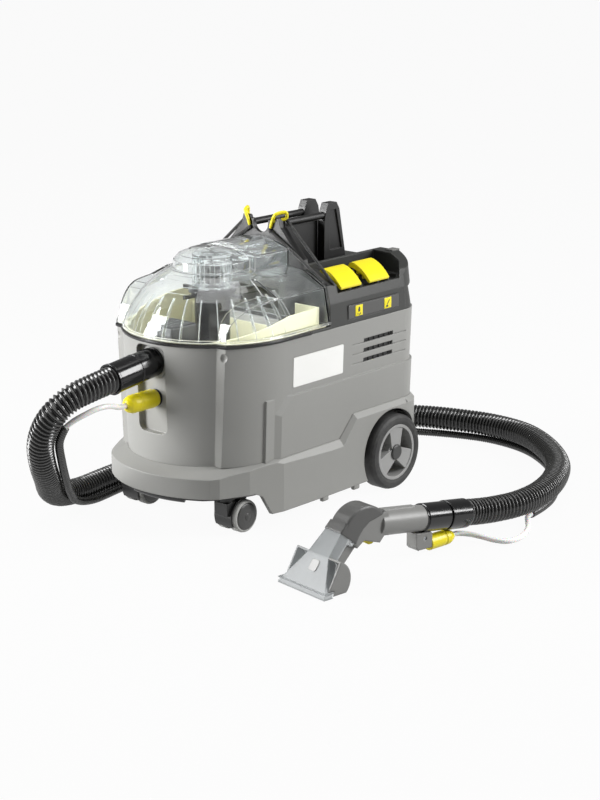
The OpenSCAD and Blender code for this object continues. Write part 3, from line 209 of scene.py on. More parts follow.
def hosePlastic(name, look):
    material = newMaterial(name)
    coords = addNode(material, "ShaderNodeTexCoord").outputs["Object"]
    dust = addNode(material, "ShaderNodeTexNoise",
                   inputs={"Vector": coords, "Scale": 1000 / hoseSurface["dustMm"], "Detail": 5.0})
    fine = addNode(material, "ShaderNodeTexNoise",
                   inputs={"Vector": coords, "Scale": 1000 / hoseSurface["grainMm"], "Detail": 2.0})
    # the "ribs" map counts the rib's turns along the hose
    ribs = addNode(material, "ShaderNodeUVMap", {"uv_map": "ribs"})
    turns = addNode(material, "ShaderNodeSeparateXYZ", inputs={"Vector": ribs.outputs["UV"]})
    angle = addNode(material, "ShaderNodeMath", {"operation": "MULTIPLY"},
                    {0: turns.outputs["X"], 1: 2 * math.pi})
    wave = addNode(material, "ShaderNodeMath", {"operation": "COSINE"}, {0: angle.outputs["Value"]})
    # painted highlight: the helical rib crests are coloured paler
    crestHighlight = addNode(material, "ShaderNodeMapRange",
                    inputs={"Value": wave.outputs["Value"], "From Min": hoseSurface["crestFrom"],
                            "From Max": hoseSurface["crestTo"], "To Min": 0.0, "To Max": look["crestHighlightShare"]})
    body = addNode(material, "ShaderNodeMix", {"data_type": "RGBA"},
                   {"Factor": dust.outputs["Fac"], "A": toLinear(look["colour"]),
                    "B": toLinear(look["dusty"])})
    colour = addNode(material, "ShaderNodeMix", {"data_type": "RGBA"},
                     {"Factor": crestHighlight.outputs["Result"], "A": body.outputs["Result"],
                      "B": toLinear(look["crestHighlight"])})
    gloss = addNode(material, "ShaderNodeMapRange",
                    inputs={"Value": dust.outputs["Fac"], "From Min": 0.3, "From Max": 0.7,
                            "To Min": look["gloss"][0], "To Max": look["gloss"][1]})
    bump = addNode(material, "ShaderNodeBump",
                   inputs={"Strength": 0.25, "Distance": hoseSurface["grainHeightMm"] / 1000,
                           "Height": fine.outputs["Fac"]})
    shader = addNode(material, "ShaderNodeBsdfPrincipled",
                     inputs={"Base Color": colour.outputs["Result"], "Roughness": gloss.outputs["Result"],
                             "Normal": bump.outputs["Normal"], "IOR": hoseSurface["ior"],
                             "Subsurface Weight": look["milky"],
                             "Subsurface Scale": hoseSurface["glowMm"] / 1000})
    return finishMaterial(material, shader.outputs["BSDF"])


# Vulcanised rubber: a pebbled skin from the mould, and a film of grey dust that lies in blotches.
rubberSurface = {"dustMm": 14, "grainMm": 1.6, "grainHeightMm": 0.3, "edgeMm": 1.5, "ior": 1.52}


def vulcanisedRubber(name, look):
    material = newMaterial(name)
    coords = addNode(material, "ShaderNodeTexCoord").outputs["Object"]
    dust = addNode(material, "ShaderNodeTexNoise",
                   inputs={"Vector": coords, "Scale": 1000 / rubberSurface["dustMm"], "Detail": 7.0,
                           "Roughness": 0.7})
    fine = addNode(material, "ShaderNodeTexVoronoi",
                   inputs={"Vector": coords, "Scale": 1000 / rubberSurface["grainMm"]})
    soft = addNode(material, "ShaderNodeBevel", {"samples": edgeFinder["rays"]},
                   {"Radius": rubberSurface["edgeMm"] / 1000})
    film = addNode(material, "ShaderNodeMapRange",
                   inputs={"Value": dust.outputs["Fac"], "From Min": 0.45, "From Max": 0.75,
                           "To Min": 0.0, "To Max": look["film"]})
    colour = addNode(material, "ShaderNodeMix", {"data_type": "RGBA"},
                     {"Factor": film.outputs["Result"], "A": toLinear(look["colour"]),
                      "B": toLinear(look["dusty"])})
    bump = addNode(material, "ShaderNodeBump",
                   inputs={"Strength": 0.35, "Distance": rubberSurface["grainHeightMm"] / 1000,
                           "Height": fine.outputs["Distance"], "Normal": soft.outputs["Normal"]})
    shader = addNode(material, "ShaderNodeBsdfPrincipled",
                     inputs={"Base Color": colour.outputs["Result"], "Roughness": look["gloss"],
                             "Normal": bump.outputs["Normal"], "IOR": rubberSurface["ior"]})
    return finishMaterial(material, shader.outputs["BSDF"])


# Drawn steel under bright zinc: the die leaves fine lines along the bar, here along Y.
drawnSteel = {"lineMm": 0.8, "alongY": 0.02, "lineHeightMm": 0.1}


def zincSteel(name, look):
    material = newMaterial(name)
    coords = addNode(material, "ShaderNodeTexCoord").outputs["Object"]
    stretched = addNode(material, "ShaderNodeMapping",
                        inputs={"Vector": coords, "Scale": (1.0, drawnSteel["alongY"], 1.0)})
    lines = addNode(material, "ShaderNodeTexNoise",
                    inputs={"Vector": stretched.outputs["Vector"], "Scale": 1000 / drawnSteel["lineMm"],
                            "Detail": 4.0})
    gloss = addNode(material, "ShaderNodeMapRange",
                    inputs={"Value": lines.outputs["Fac"], "To Min": look["gloss"][0],
                            "To Max": look["gloss"][1]})
    bump = addNode(material, "ShaderNodeBump",
                   inputs={"Strength": 0.2, "Distance": drawnSteel["lineHeightMm"] / 1000,
                           "Height": lines.outputs["Fac"]})
    shader = addNode(material, "ShaderNodeBsdfPrincipled",
                     inputs={"Base Color": toLinear(look["colour"]), "Metallic": 1.0,
                             "Roughness": gloss.outputs["Result"], "Normal": bump.outputs["Normal"]})
    return finishMaterial(material, shader.outputs["BSDF"])


# Braided polyester over a rubber core: yarns cross at a right angle, with a soft sheen.
braid = {"turn": 45, "heightMm": 0.4}


def braidedCord(name, look):
    material = newMaterial(name)
    # the first UV map of a swept tube is in millimetres along and around it
    coords = addNode(material, "ShaderNodeTexCoord").outputs["UV"]
    yarns = []
    for way in (1, -1):
        spun = addNode(material, "ShaderNodeMapping",
                       inputs={"Vector": coords, "Rotation": (0, 0, way * math.radians(braid["turn"]))})
        yarns.append(addNode(material, "ShaderNodeTexWave", {"bands_direction": "X", "wave_profile": "SIN"},
                             {"Vector": spun.outputs["Vector"], "Scale": 1 / look["yarnMm"],
                              "Distortion": 0.4}))
    crossed = addNode(material, "ShaderNodeMath", {"operation": "MAXIMUM"},
                      {0: yarns[0].outputs["Fac"], 1: yarns[1].outputs["Fac"]})
    colour = addNode(material, "ShaderNodeMix", {"data_type": "RGBA"},
                     {"Factor": crossed.outputs["Value"], "A": toLinear(look["shade"]),
                      "B": toLinear(look["colour"])})
    bump = addNode(material, "ShaderNodeBump",
                   inputs={"Strength": 0.7, "Distance": braid["heightMm"] / 1000,
                           "Height": crossed.outputs["Value"]})
    shader = addNode(material, "ShaderNodeBsdfPrincipled",
                     inputs={"Base Color": colour.outputs["Result"], "Roughness": 0.62,
                             "Sheen Weight": 0.35, "Sheen Roughness": 0.4,
                             "Normal": bump.outputs["Normal"]})
    return finishMaterial(material, shader.outputs["BSDF"])


finishes = {
    # ABS, eroded tool: a fine leather grain that breaks up the light (real grain 0.4 mm, drawn at 1.3 mm)
    "greyAbs": {"colour": "#959592", "second": "#8c8c89", "worn": "#b9b9b6", "driftMm": 140, "grainMm": 1.3,
                "grainDepth": 0.22, "gloss": (0.40, 0.52), "edgeMm": 2.2, "rub": 0.5, "ior": 1.54},
    # the same ABS in anthracite, for the deck
    "anthraciteAbs": {"colour": "#2e2f2d", "second": "#282927", "worn": "#6d6d6b", "driftMm": 90,
                      "grainMm": 1.3, "grainDepth": 0.25, "gloss": (0.38, 0.5), "edgeMm": 3.0, "rub": 0.5,
                      "ior": 1.54},
    # glass filled polyamide for pieces that carry load: black, slightly fibrous
    "blackPolyamide": {"colour": "#101010", "second": "#0c0c0c", "worn": "#3b3b3a", "driftMm": 60,
                       "grainMm": 1.0, "grainDepth": 0.3, "gloss": (0.34, 0.48), "edgeMm": 1.5, "rub": 0.7,
                       "ior": 1.53},
    # polypropylene from a polished tool: cuffs, pipe and ports, nearly a mirror
    "polishedPolypropylene": {"colour": "#131314", "second": "#101011", "worn": "#2c2c2c", "driftMm": 50,
                              "grainMm": 3.0, "grainDepth": 0.05, "gloss": (0.10, 0.2), "edgeMm": 1.2,
                              "rub": 0.4, "ior": 1.5},
    # yellow acetal, coloured all through: every piece that the user works
    "yellowAcetal": {"colour": "#f0e01c", "second": "#e8d716", "worn": "#f6efa0", "driftMm": 30,
                     "grainMm": 1.2, "grainDepth": 0.12, "gloss": (0.30, 0.4), "edgeMm": 1.6, "rub": 0.45,
                     "ior": 1.48},
    # blow moulded polyethylene tank: cream and waxy, with softened edges
    "creamPolyethylene": {"colour": "#cbc9ad", "second": "#c1be9f", "worn": "#d8d6c0", "driftMm": 70,
                          "grainMm": 2.5, "grainDepth": 0.2, "gloss": (0.42, 0.55), "edgeMm": 2.0,
                          "rub": 0.3, "ior": 1.51},
    # light grey polypropylene, moulded satin: wheel rims and the nozzle's plate
    "palePolypropylene": {"colour": "#9b9b9a", "second": "#929291", "worn": "#bcbcba", "driftMm": 40,
                          "grainMm": 1.0, "grainDepth": 0.15, "gloss": (0.32, 0.42), "edgeMm": 1.6,
                          "rub": 0.4, "ior": 1.49},
    # dark ABS, eroded tool: hub caps, caster discs and printed signs
    "darkGreyAbs": {"colour": "#3c3c3b", "second": "#333332", "worn": "#5c5c5b", "driftMm": 30,
                    "grainMm": 1.0, "grainDepth": 0.2, "gloss": (0.36, 0.5), "edgeMm": 1.8, "rub": 0.5,
                    "ior": 1.54},
    # ABS of the hand tool's body, a little smoother in the hand than the housing
    "toolGreyAbs": {"colour": "#7f7f7d", "second": "#767674", "worn": "#a2a2a0", "driftMm": 60,
                    "grainMm": 1.1, "grainDepth": 0.15, "gloss": (0.34, 0.46), "edgeMm": 3.5, "rub": 0.4,
                    "ior": 1.54},
    # the same ABS in dark grey, with wide soft edges
    "toolDarkAbs": {"colour": "#4e4e4d", "second": "#464645", "worn": "#686867", "driftMm": 60,
                    "grainMm": 1.1, "grainDepth": 0.15, "gloss": (0.32, 0.45), "edgeMm": 4.0, "rub": 0.4,
                    "ior": 1.54},
    # polyester film with a satin lacquer, left bare
    "lacqueredFilm": {"colour": "#f2f2f0", "second": "#ecece9", "worn": "#ffffff", "driftMm": 50,
                      "grainMm": 0.8, "grainDepth": 0.05, "gloss": (0.28, 0.36), "edgeMm": 0.6, "rub": 0.2,
                      "ior": 1.5},
    # steel motor case under grey stoving enamel: smooth, a little dimpled
    "enamelledSteel": {"colour": "#6a6c6e", "second": "#5c5e60", "worn": "#9a9c9e", "driftMm": 40,
                       "grainMm": 1.0, "grainDepth": 0.2, "gloss": (0.35, 0.5), "edgeMm": 1.5, "rub": 0.5,
                       "ior": 1.5},
    # thermoplastic polyurethane tread, moulded on: matt and pale, so that it leaves no marks
    "paleTpu": {"colour": "#b9b9b6", "second": "#acaca9", "worn": "#cccccb", "driftMm": 14, "grainMm": 1.0,
                "grainDepth": 0.2, "gloss": (0.5, 0.62), "edgeMm": 1.2, "rub": 0.3, "ior": 1.5},
    # hollow polypropylene float: dark, plain and smooth
    "darkPolypropylene": {"colour": "#2f2f2e", "second": "#292928", "worn": "#4a4a49", "driftMm": 15,
                          "grainMm": 1.5, "grainDepth": 0.1, "gloss": (0.4, 0.5), "edgeMm": 1.0, "rub": 0.2,
                          "ior": 1.5},
}
materials = {name: mouldedPlastic(name, look) for name, look in finishes.items()}
# lid and basket: polycarbonate from a polished tool, clear, with a painted highlight on its edges
materials["clearPolycarbonate"] = clearPlastic("clearPolycarbonate", {
    "colour": "#f7fafa", "gloss": 0.03, "ior": 1.45, "hazeMm": 30, "haze": (0.0, 0.05), "edgeMm": 1.0,
    "cornerPaintedHighlight": 0.7, "waviness": 0.1})
# nozzle: the same plastic, smoky and dulled by carpet fibres, with a painted highlight on its edges
materials["smokyPolycarbonate"] = clearPlastic("smokyPolycarbonate", {
    "colour": "#989b9c", "gloss": 0.42, "ior": 1.4, "hazeMm": 14, "haze": (0.4, 0.55), "edgeMm": 1.0,
    "cornerPaintedHighlight": 0.85, "waviness": 0.15})
# black hose: its paler rib crests are a painted highlight
materials["blackEva"] = hosePlastic("blackEva", {
    "colour": "#0c0c0c", "dusty": "#161616", "gloss": (0.12, 0.24), "crestHighlight": "#5a5a59", "crestHighlightShare": 0.8,
    "milky": 0.0})
materials["whitePvc"] = hosePlastic("whitePvc", {
    "colour": "#f8f8f6", "dusty": "#efefec", "gloss": (0.16, 0.28), "crestHighlight": "#f8f8f6", "crestHighlightShare": 0.0,
    "milky": 0.25})
materials["tyreRubber"] = vulcanisedRubber("tyreRubber", {
    "colour": "#2c2c2c", "dusty": "#4a4947", "film": 0.6, "gloss": 0.6})
materials["beadRubber"] = vulcanisedRubber("beadRubber", {
    "colour": "#121212", "dusty": "#242424", "film": 0.4, "gloss": 0.25})
materials["zincSteel"] = zincSteel("zincSteel", {"colour": "#b9bcc0", "gloss": (0.22, 0.4)})
# yarns 1.2 mm wide
materials["polyesterBraid"] = braidedCord("polyesterBraid", {
    "colour": "#1d1d1d", "shade": "#060606", "yarnMm": 1.2})

nodeFinishes = {
    "greyAbs": ["housing", "base_skirt", "hose_port"],
    "anthraciteAbs": ["control_deck", "battery_door"],
    "blackPolyamide": ["base_pan", "vent_grilles", "caster_hood_near", "caster_hood_far", "holder_frame",
                       "holder_box", "spray_pump", "battery_pack"],
    "polishedPolypropylene": ["water_socket", "intake_pipe", "tool_cuff", "hose_cuff_machine",
                              "hose_cuff_tool", "spray_jet"],
    "yellowAcetal": ["rocker_spray", "rocker_suction", "spray_trigger", "tool_coupling", "water_coupling",
                     "pull_tab_near", "pull_tab_far"],
    "creamPolyethylene": ["recovery_tank"],
    "palePolypropylene": ["rim_near", "rim_far"],
    "darkGreyAbs": ["hub_near", "hub_far", "caster_wheels_near", "caster_wheels_far"],
    "toolGreyAbs": ["tool_handle", "deck_clip", "spray_shield", "valve_block"],
    "toolDarkAbs": ["tool_elbow", "switch_strip"],
    "lacqueredFilm": ["badge_plate"],
    "enamelledSteel": ["vacuum_motor"],
    "paleTpu": ["caster_tyres_near", "caster_tyres_far"],
    "darkPolypropylene": ["float_ball"],
    "clearPolycarbonate": ["lid_shell", "filter_basket"],
    "smokyPolycarbonate": ["nozzle_shell"],
    "tyreRubber": ["tyre_near", "tyre_far"],
    "beadRubber": ["rim_seal"],
    "zincSteel": ["rear_axle"],
}
for finish, names in nodeFinishes.items():
    for name in names:
        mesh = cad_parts[name].data
        mesh.materials.clear()
        mesh.materials.append(materials[finish])

# the spray shield is grey on the near side and smoky past clearFromMm across the tool
sprayShield = {"clearFromMm": 8}
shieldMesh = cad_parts["spray_shield"].data
shieldMesh.materials.append(materials["smokyPolycarbonate"])
toTool = (Matrix.Translation(originShift) @ toolPlace).inverted()
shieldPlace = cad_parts["spray_shield"].matrix_world
for face in shieldMesh.polygons:
    if (toTool @ (shieldPlace @ face.center * 1000)).y > sprayShield["clearFromMm"]:
        face.material_index = 1
print("materials: given to the machine's own pieces")


# Mesh helpers

def makePiece(name, bm, finish, body, smooth=True):
    mesh = bpy.data.meshes.new(name)
    bmesh.ops.recalc_face_normals(bm, faces=bm.faces)
    for face in bm.faces:
        face.smooth = smooth
    bm.to_mesh(mesh)
    bm.free()
    mesh.materials.append(materials[finish])
    piece = bpy.data.objects.new(name, mesh)
    bpy.context.scene.collection.objects.link(piece)
    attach(piece, body)
    return piece


def around(count, start=0.0):
    return [2 * math.pi * (k + start) / count for k in range(count)]


def bridge(bm, ring, nextRing):
    # a band of faces between two rings with the same number of points
    count = len(ring)
    return [bm.faces.new((ring[k], ring[(k + 1) % count], nextRing[(k + 1) % count], nextRing[k]))
            for k in range(count)]


def curveThrough(points, perSpan):
    # Catmull-Rom, as the machine's hoses are laid
    spots = []
    for i in range(len(points) - 1):
        p0, p1 = points[max(i - 1, 0)], points[i]
        p2, p3 = points[i + 1], points[min(i + 2, len(points) - 1)]
        for k in range(perSpan):
            t = k / perSpan
            spots.append(0.5 * (2 * p1 + (p2 - p0) * t + (2 * p0 - 5 * p1 + 4 * p2 - p3) * t * t
                                + (3 * p1 - p0 - 3 * p2 + p3) * t ** 3))
    return spots + [points[-1].copy()]


def evenly(path, step):
    # the same line with its points at equal distances, and that distance
    gaps = [(b - a).length for a, b in zip(path, path[1:])]
    count = max(2, round(sum(gaps) / step))
    stride, spots, done, i = sum(gaps) / count, [path[0].copy()], 0.0, 0
    for k in range(1, count):
        while done + gaps[i] < k * stride:
            done += gaps[i]
            i += 1
        spots.append(path[i].lerp(path[i + 1], (k * stride - done) / gaps[i]))
    return spots + [path[-1].copy()], stride


def sweep(name, path, stride, sides, radiusAt, finish, body, ribPitch=1.0):
    # tube whose radius may change along and around it; the frame is carried along without twist
    bm = bmesh.new()
    alongMap = bm.loops.layers.uv.new("along")
    ribMap = bm.loops.layers.uv.new("ribs")
    side, rings = None, []
    for i, spot in enumerate(path):
        ahead = (path[min(i + 1, len(path) - 1)] - path[max(i - 1, 0)]).normalized()
        if side is None:
            side = ahead.orthogonal().normalized()
        else:
            side = (side - ahead * side.dot(ahead)).normalized()
        up = ahead.cross(side)
        rings.append([bm.verts.new(spot + (side * math.cos(t) + up * math.sin(t)) * radiusAt(i * stride, t))
                      for t in around(sides)])
    for i in range(len(rings) - 1):
        for k, face in enumerate(bridge(bm, rings[i], rings[i + 1])):
            for loop, (u, v) in zip(face.loops, ((i, k), (i, k + 1), (i + 1, k + 1), (i + 1, k))):
                loop[alongMap].uv = (u * stride * 1000, v * 2 * math.pi / sides * radiusAt(0, 0) * 1000)
                loop[ribMap].uv = (u * stride / ribPitch + v / sides, 0.0)
    for end in (rings[0], rings[-1]):
        bm.faces.new(end)
    return makePiece(name, bm, finish, body)


def lathe(name, origin, axis, profile, sides, finish, body):
    # profile is (along the axis, radius) in millimetres; corners over 40 degrees stay sharp
    bm = bmesh.new()
    axis = axis.normalized()
    side = axis.orthogonal().normalized()
    up = axis.cross(side)
    rings = []
    for along, radius in profile:
        centre = origin + axis * along / 1000
        if radius <= 0:
            rings.append([bm.verts.new(centre)])
        else:
            rings.append([bm.verts.new(centre + (side * math.cos(t) + up * math.sin(t)) * radius / 1000)
                          for t in around(sides)])
    for r0, r1 in zip(rings, rings[1:]):
        for k in range(sides):
            n = (k + 1) % sides
            corners = [r0[k % len(r0)], r0[n % len(r0)], r1[n % len(r1)], r1[k % len(r1)]]
            corners = [v for j, v in enumerate(corners) if v not in corners[:j]]
            if len(corners) > 2:
                bm.faces.new(corners)
    piece = makePiece(name, bm, finish, body)
    piece.data.set_sharp_from_angle(angle=math.radians(40))
    return piece


def loft(name, sections, finish, body):
    # flat-faced solid through sections with the same number of points each
    bm = bmesh.new()
    rings = [[bm.verts.new(spot) for spot in section] for section in sections]
    for ring, nextRing in zip(rings, rings[1:]):
        bridge(bm, ring, nextRing)
    for end in (rings[0], rings[-1]):
        bm.faces.new(end)
    return makePiece(name, bm, finish, body, smooth=False)


def softBox(name, low, high, finish, body, roundMm):
    # block with rounded edges between two corners in millimetres
    bm = bmesh.new()
    bmesh.ops.create_cube(bm, size=1)
    for v in bm.verts:
        v.co = Vector([(low[i] + high[i]) / 2 + v.co[i] * (high[i] - low[i]) for i in range(3)])
    bmesh.ops.bevel(bm, geom=list(bm.edges), offset=roundMm, segments=3, affect="EDGES", profile=0.5)
    for v in bm.verts:
        v.co = at(*v.co)
    return makePiece(name, bm, finish, body)


# Hoses

suctionHose = {
    "diameterMm": 40, "ribPitchMm": 6.6, "ribDepthMm": 4.2, "ribPower": 0.8, "sides": 20, "stepMm": 1.0,
    "declareEvery": 8,
    "route": [(-302, 0, 246), (-325, 0, 243), (-352, 3, 238), (-378, 9, 230), (-398, 20, 213),
              (-405, 38, 187), (-400, 56, 155), (-380, 76, 118), (-352, 100, 84), (-319.5, 130.5, 52.6),
              (-278.5, 155, 30.6), (-226, 168.5, 21), (-160, 179, 20), (-80, 188, 20), (0, 197, 20),
              (80, 202, 20), (160, 203, 20), (235, 190, 20), (308, 153, 21), (374, 91, 25), (415, 9, 31),
              (437, -68, 34), (451, -137, 34), (441, -211, 34), (398, -282, 34), (335, -345, 34),
              (263, -384, 34), (193, -404, 34), (134, -406, 34), (88, -396, 35), (58, -387, 37),
              (38, -383, 40), (17, -380, 43)],
}
spraySleeve = {
    "diameterMm": 13, "ribPitchMm": 4.0, "ribDepthMm": 1.1, "ribPower": 0.8, "sides": 12, "stepMm": 1.0,
    "declareEvery": 6,
    "route": [(-382, 22, 184), (-380, 38, 158), (-361, 56, 122), (-334, 80, 85), (-302, 108, 50),
              (-268, 131, 22), (-222, 143, 9), (-157, 154, 8), (-77, 164, 8), (2, 173, 8), (80, 178, 8),
              (156, 178, 8), (224, 167, 8), (294, 133, 8), (355, 78, 7), (401, 3, 7), (435, -69, 7),
              (451, -137, 7), (440, -211, 7), (397, -282, 7), (334, -344, 7), (263, -384, 7),
              (215, -399, 7), (172, -405, 7)],
}
sprayHose = {
    "diameterMm": 8, "ribPitchMm": 0, "ribDepthMm": 0, "ribPower": 1, "sides": 16, "stepMm": 3.0,
    "front": [(-280, 0, 200), (-292, 0, 200), (-303, -3, 202.5), (-318, -8, 208), (-334, -10, 211),
              (-350, -8, 210), (-365, -1, 204), (-376, 9, 196), (-382, 20, 186)],
    "rear": [(171, -405, 7), (158, -408, 7), (140, -420, 6), (120, -434, 6), (96, -445, 6),
             (70, -450, 6), (50, -444, 6), (40, -428, 7), (35, -409, 9), (27, -391, 11),
             (15, -380, 12.4), (3, -378, 12.4)],
}


spotsPerSpan = 12   # on the curve between two route points


def layHose(name, size, route, finish):
    path, stride = evenly(curveThrough([at(*p) for p in route], spotsPerSpan), size["stepMm"] / 1000)
    outer, depth, pitch = size["diameterMm"] / 2000, size["ribDepthMm"] / 1000, size["ribPitchMm"] / 1000

    def radiusAt(s, t):
        if not pitch:
            return outer
        wave = 0.5 + 0.5 * math.cos(2 * math.pi * s / pitch + t)   # one helical rib
        return outer - depth * (1 - wave ** size["ribPower"])

    hose = sweep(name, path, stride, size["sides"], radiusAt, finish, "machine", pitch or 1.0)
    return hose, path, stride * (len(path) - 1)


# a ribbed hose has a ring every millimetre; its declared path takes only some of them
hose, hosePath, hoseLength = layHose("suctionHose", suctionHose, suctionHose["route"], "blackEva")
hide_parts("suction_hose")
sleeve, sleevePath, sleeveLength = layHose("spraySleeve", spraySleeve, spraySleeve["route"], "blackEva")
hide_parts("water_sleeve")
for part, farEnd, fitting in (("front", "object", "water_coupling"), ("rear", "fitting", "tool_coupling")):
    thin, thinPath, thinLength = layHose("sprayHose_" + part, sprayHose, sprayHose[part], "whitePvc")
    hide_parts("water_hose_" + part)
    print("hoses: spray hose", part, round(thinLength, 3), "m")
print("hoses: suction hose", round(hoseLength, 3), "m, sleeve", round(sleeveLength, 3), "m")


# Pull loops and their elastic cords

pullLoops = {
    "radiusMm": 2.8, "oval": 0.1, "endThinning": 0.25, "endPower": 8, "barShare": 0.85, "cordRadiusMm": 2.5,
    "loopStepMm": 1.2, "cordStepMm": 2, "spotsPerSpan": 10, "loopSides": 16, "cordSides": 14,
    "fittingSides": 20,
    "bar": [(7.9, -25.8, 435), (25.2, -40, 438)],
    "loop": [(7.5, -21.5, 424), (7.5, -25, 434), (7.5, -29.5, 443.3), (9, -32, 446.2), (14, -34.5, 447.9),
             (20, -37.6, 448.6), (23.6, -39.6, 447.7), (24.7, -40, 444.5), (24.9, -40, 438.5)],
    "cords": [[(6.8, -20, 421), (7.6, -134, 352)], [(25, -40, 436), (21, -136, 350)]],
    # fittings at a cord's ends, as (along the cord, radius), each starting a little before that end
    "ferruleBackMm": 1, "ferrule": [(0, 0), (0, 1.6), (0.5, 2.9), (5.5, 2.9), (6.2, 2.6), (6.2, 0)],
    "eyeBackMm": 7, "eye": [(0, 0), (0, 2.3), (1.5, 2.95), (7, 2.95), (9, 2.2), (9.8, 0)],
}


def hangPullLoop(label, side):
    # side is 1 for the near loop and -1 for the far one, which mirrors it
    def here(p):
        return at(p[0], p[1] * side, p[2])

    radius, thick = pullLoops["radiusMm"] / 1000, pullLoops["cordRadiusMm"] / 1000
    oval, thinning = pullLoops["oval"], pullLoops["endThinning"]
    bent = curveThrough([here(p) for p in pullLoops["loop"]], pullLoops["spotsPerSpan"])
    path, stride = evenly(bent, pullLoops["loopStepMm"] / 1000)
    span = stride * (len(path) - 1)

    def loopRadius(s, t):
        # oval, and thinner at both ends
        ends = abs(2 * s / span - 1) ** pullLoops["endPower"]
        return radius * (1 - oval + oval * abs(math.cos(t))) * (1 - thinning * ends)

    loop = sweep("pullLoop_" + label, path, stride, pullLoops["loopSides"], loopRadius, "yellowAcetal",
                 "machine")
    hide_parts("pull_tab_" + label)
    barPath, step = evenly([here(p) for p in pullLoops["bar"]], pullLoops["cordStepMm"] / 1000)
    bar = sweep("pullBar_" + label, barPath, step, pullLoops["cordSides"],
                lambda s, t: radius * pullLoops["barShare"], "yellowAcetal", "machine")
    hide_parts("pull_tab_" + label)
    for k, (head, foot) in enumerate(pullLoops["cords"]):
        straight, step = evenly([here(head), here(foot)], pullLoops["cordStepMm"] / 1000)
        cord = sweep(f"elasticCord_{label}_{k + 1}", straight, step, pullLoops["cordSides"],
                     lambda s, t: thick, "polyesterBraid", "machine")
        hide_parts("strap_" + label)
        along = (here(foot) - here(head)).normalized()
        lathe(f"cordFerrule_{label}_{k + 1}", here(head) - along * (pullLoops["ferruleBackMm"] / 1000), along,
              pullLoops["ferrule"], pullLoops["fittingSides"], "blackPolyamide", "machine")
        lathe(f"cordEye_{label}_{k + 1}", here(foot) - along * (pullLoops["eyeBackMm"] / 1000), along,
              pullLoops["eye"], pullLoops["fittingSides"], "blackPolyamide", "machine")


hangPullLoop("near", 1)
hangPullLoop("far", -1)
print("pull loops and elastic cords: made")


# Inside of the clear lid: stiffening ribs on its wall

# The wall's section is a rounded arch from the rim up to the tower; angles are in degrees.
lidRibs = {"from": 140, "to": 290, "every": 12.5, "centreX": -100, "towerR": 58, "rimR": 135.5,
           "archFootMm": 291.5, "archRiseMm": 87.5, "archPower": 1.4, "wallMm": 2.9, "footMm": 293,
           "topMm": 352, "rootMm": 1.4, "edgeMm": 1.0, "depthMm": 9, "thinning": 0.8, "steps": 12,
           "stepAngle": 6}


def lidRibSections(turn):
    outward = Vector((math.cos(turn), math.sin(turn), 0))
    across = Vector((-math.sin(turn), math.cos(turn), 0))
    root, edge, power = lidRibs["rootMm"] / 2, lidRibs["edgeMm"] / 2, lidRibs["archPower"]
    sections = []
    for j in range(lidRibs["steps"] + 1):
        t = math.radians(lidRibs["stepAngle"] * j)
        r = (lidRibs["towerR"] + (lidRibs["rimR"] - lidRibs["towerR"]) * math.cos(t) ** power
             - lidRibs["wallMm"] * math.cos(t))
        z = (lidRibs["archFootMm"] + lidRibs["archRiseMm"] * math.sin(t) ** power
             - lidRibs["wallMm"] * math.sin(t))
        z = max(z, lidRibs["footMm"])
        if z > lidRibs["topMm"]:
            break
        inner = r - lidRibs["depthMm"] * (1 - lidRibs["thinning"] * (j / lidRibs["steps"]))
        foot = Vector((lidRibs["centreX"], 0, z))
        sections.append([at(*(foot + outward * d + across * w))
                         for d, w in ((r, -root), (r, root), (inner, edge), (inner, -edge))])
    return sections


for k in range(int((lidRibs["to"] - lidRibs["from"]) / lidRibs["every"]) + 1):
    turn = math.radians(lidRibs["from"] + k * lidRibs["every"])
    loft(f"lidRib_{k + 1}", lidRibSections(turn), "clearPolycarbonate", "lid")
print("lid: ribs made")


# Inlet chute inside the tank, behind the suction port

inletChute = {"low": (-213, -27, 258), "high": (-160, 27, 306), "roundMm": 3.0,
              "slots": 5, "slotEveryMm": 10, "slotWidthMm": 4.4, "slotX": (-206, -168), "slotZ": (305.5, 307),
              "slotRoundMm": 0.6}
softBox("inletChute", inletChute["low"], inletChute["high"], "blackPolyamide", "tank", inletChute["roundMm"])
for k in range(inletChute["slots"]):
    y = (k - (inletChute["slots"] - 1) / 2) * inletChute["slotEveryMm"]
    half = inletChute["slotWidthMm"] / 2
    (x0, x1), (z0, z1) = inletChute["slotX"], inletChute["slotZ"]
    softBox(f"inletSlot_{k + 1}", (x0, y - half, z0), (x1, y + half, z1), "darkGreyAbs", "tank",
            inletChute["slotRoundMm"])
print("inlet chute: made")


# Switch labels: spray and suction pictograms on yellow film

switchLabels = {"spray": (62.5, 80), "suction": (133, 150.5), "lowMm": 294.6, "highMm": 311.6,
                "frontY": -146.05, "rearY": -145.3, "roundMm": 0.3, "inkMm": 0.12, "signFootMm": 2.5}
# signs are outlines from the middle of the label's foot
dropSign = {"centres": [(-3, 1), (0, 0), (3, 1)], "halfWidth": 0.9, "halfHeight": 1.3, "points": 10}
nozzleSign = [(-1.6, 4), (1.6, 4), (2.6, 7), (1.4, 11.5), (-1.4, 11.5), (-2.6, 7)]
mouthSign = [(-5, 0), (1, 0), (0.2, 3), (-3.6, 3)]
tubeSign = [(-2.4, 3.6), (-0.6, 3.6), (4.8, 10.6), (3.2, 11.6)]


def printSign(name, label, outline):
    x0, x1 = switchLabels[label]
    middle, foot = (x0 + x1) / 2, switchLabels["lowMm"] + switchLabels["signFootMm"]
    film = switchLabels["frontY"]
    loft(name, [[at(middle + x, y, foot + z) for x, z in outline]
                for y in (film - switchLabels["inkMm"], film)], "darkGreyAbs", "machine")


def stickLabel(label):
    x0, x1 = switchLabels[label]
    softBox("label_" + label, (x0, switchLabels["frontY"], switchLabels["lowMm"]),
            (x1, switchLabels["rearY"], switchLabels["highMm"]), "yellowAcetal", "machine",
            switchLabels["roundMm"])


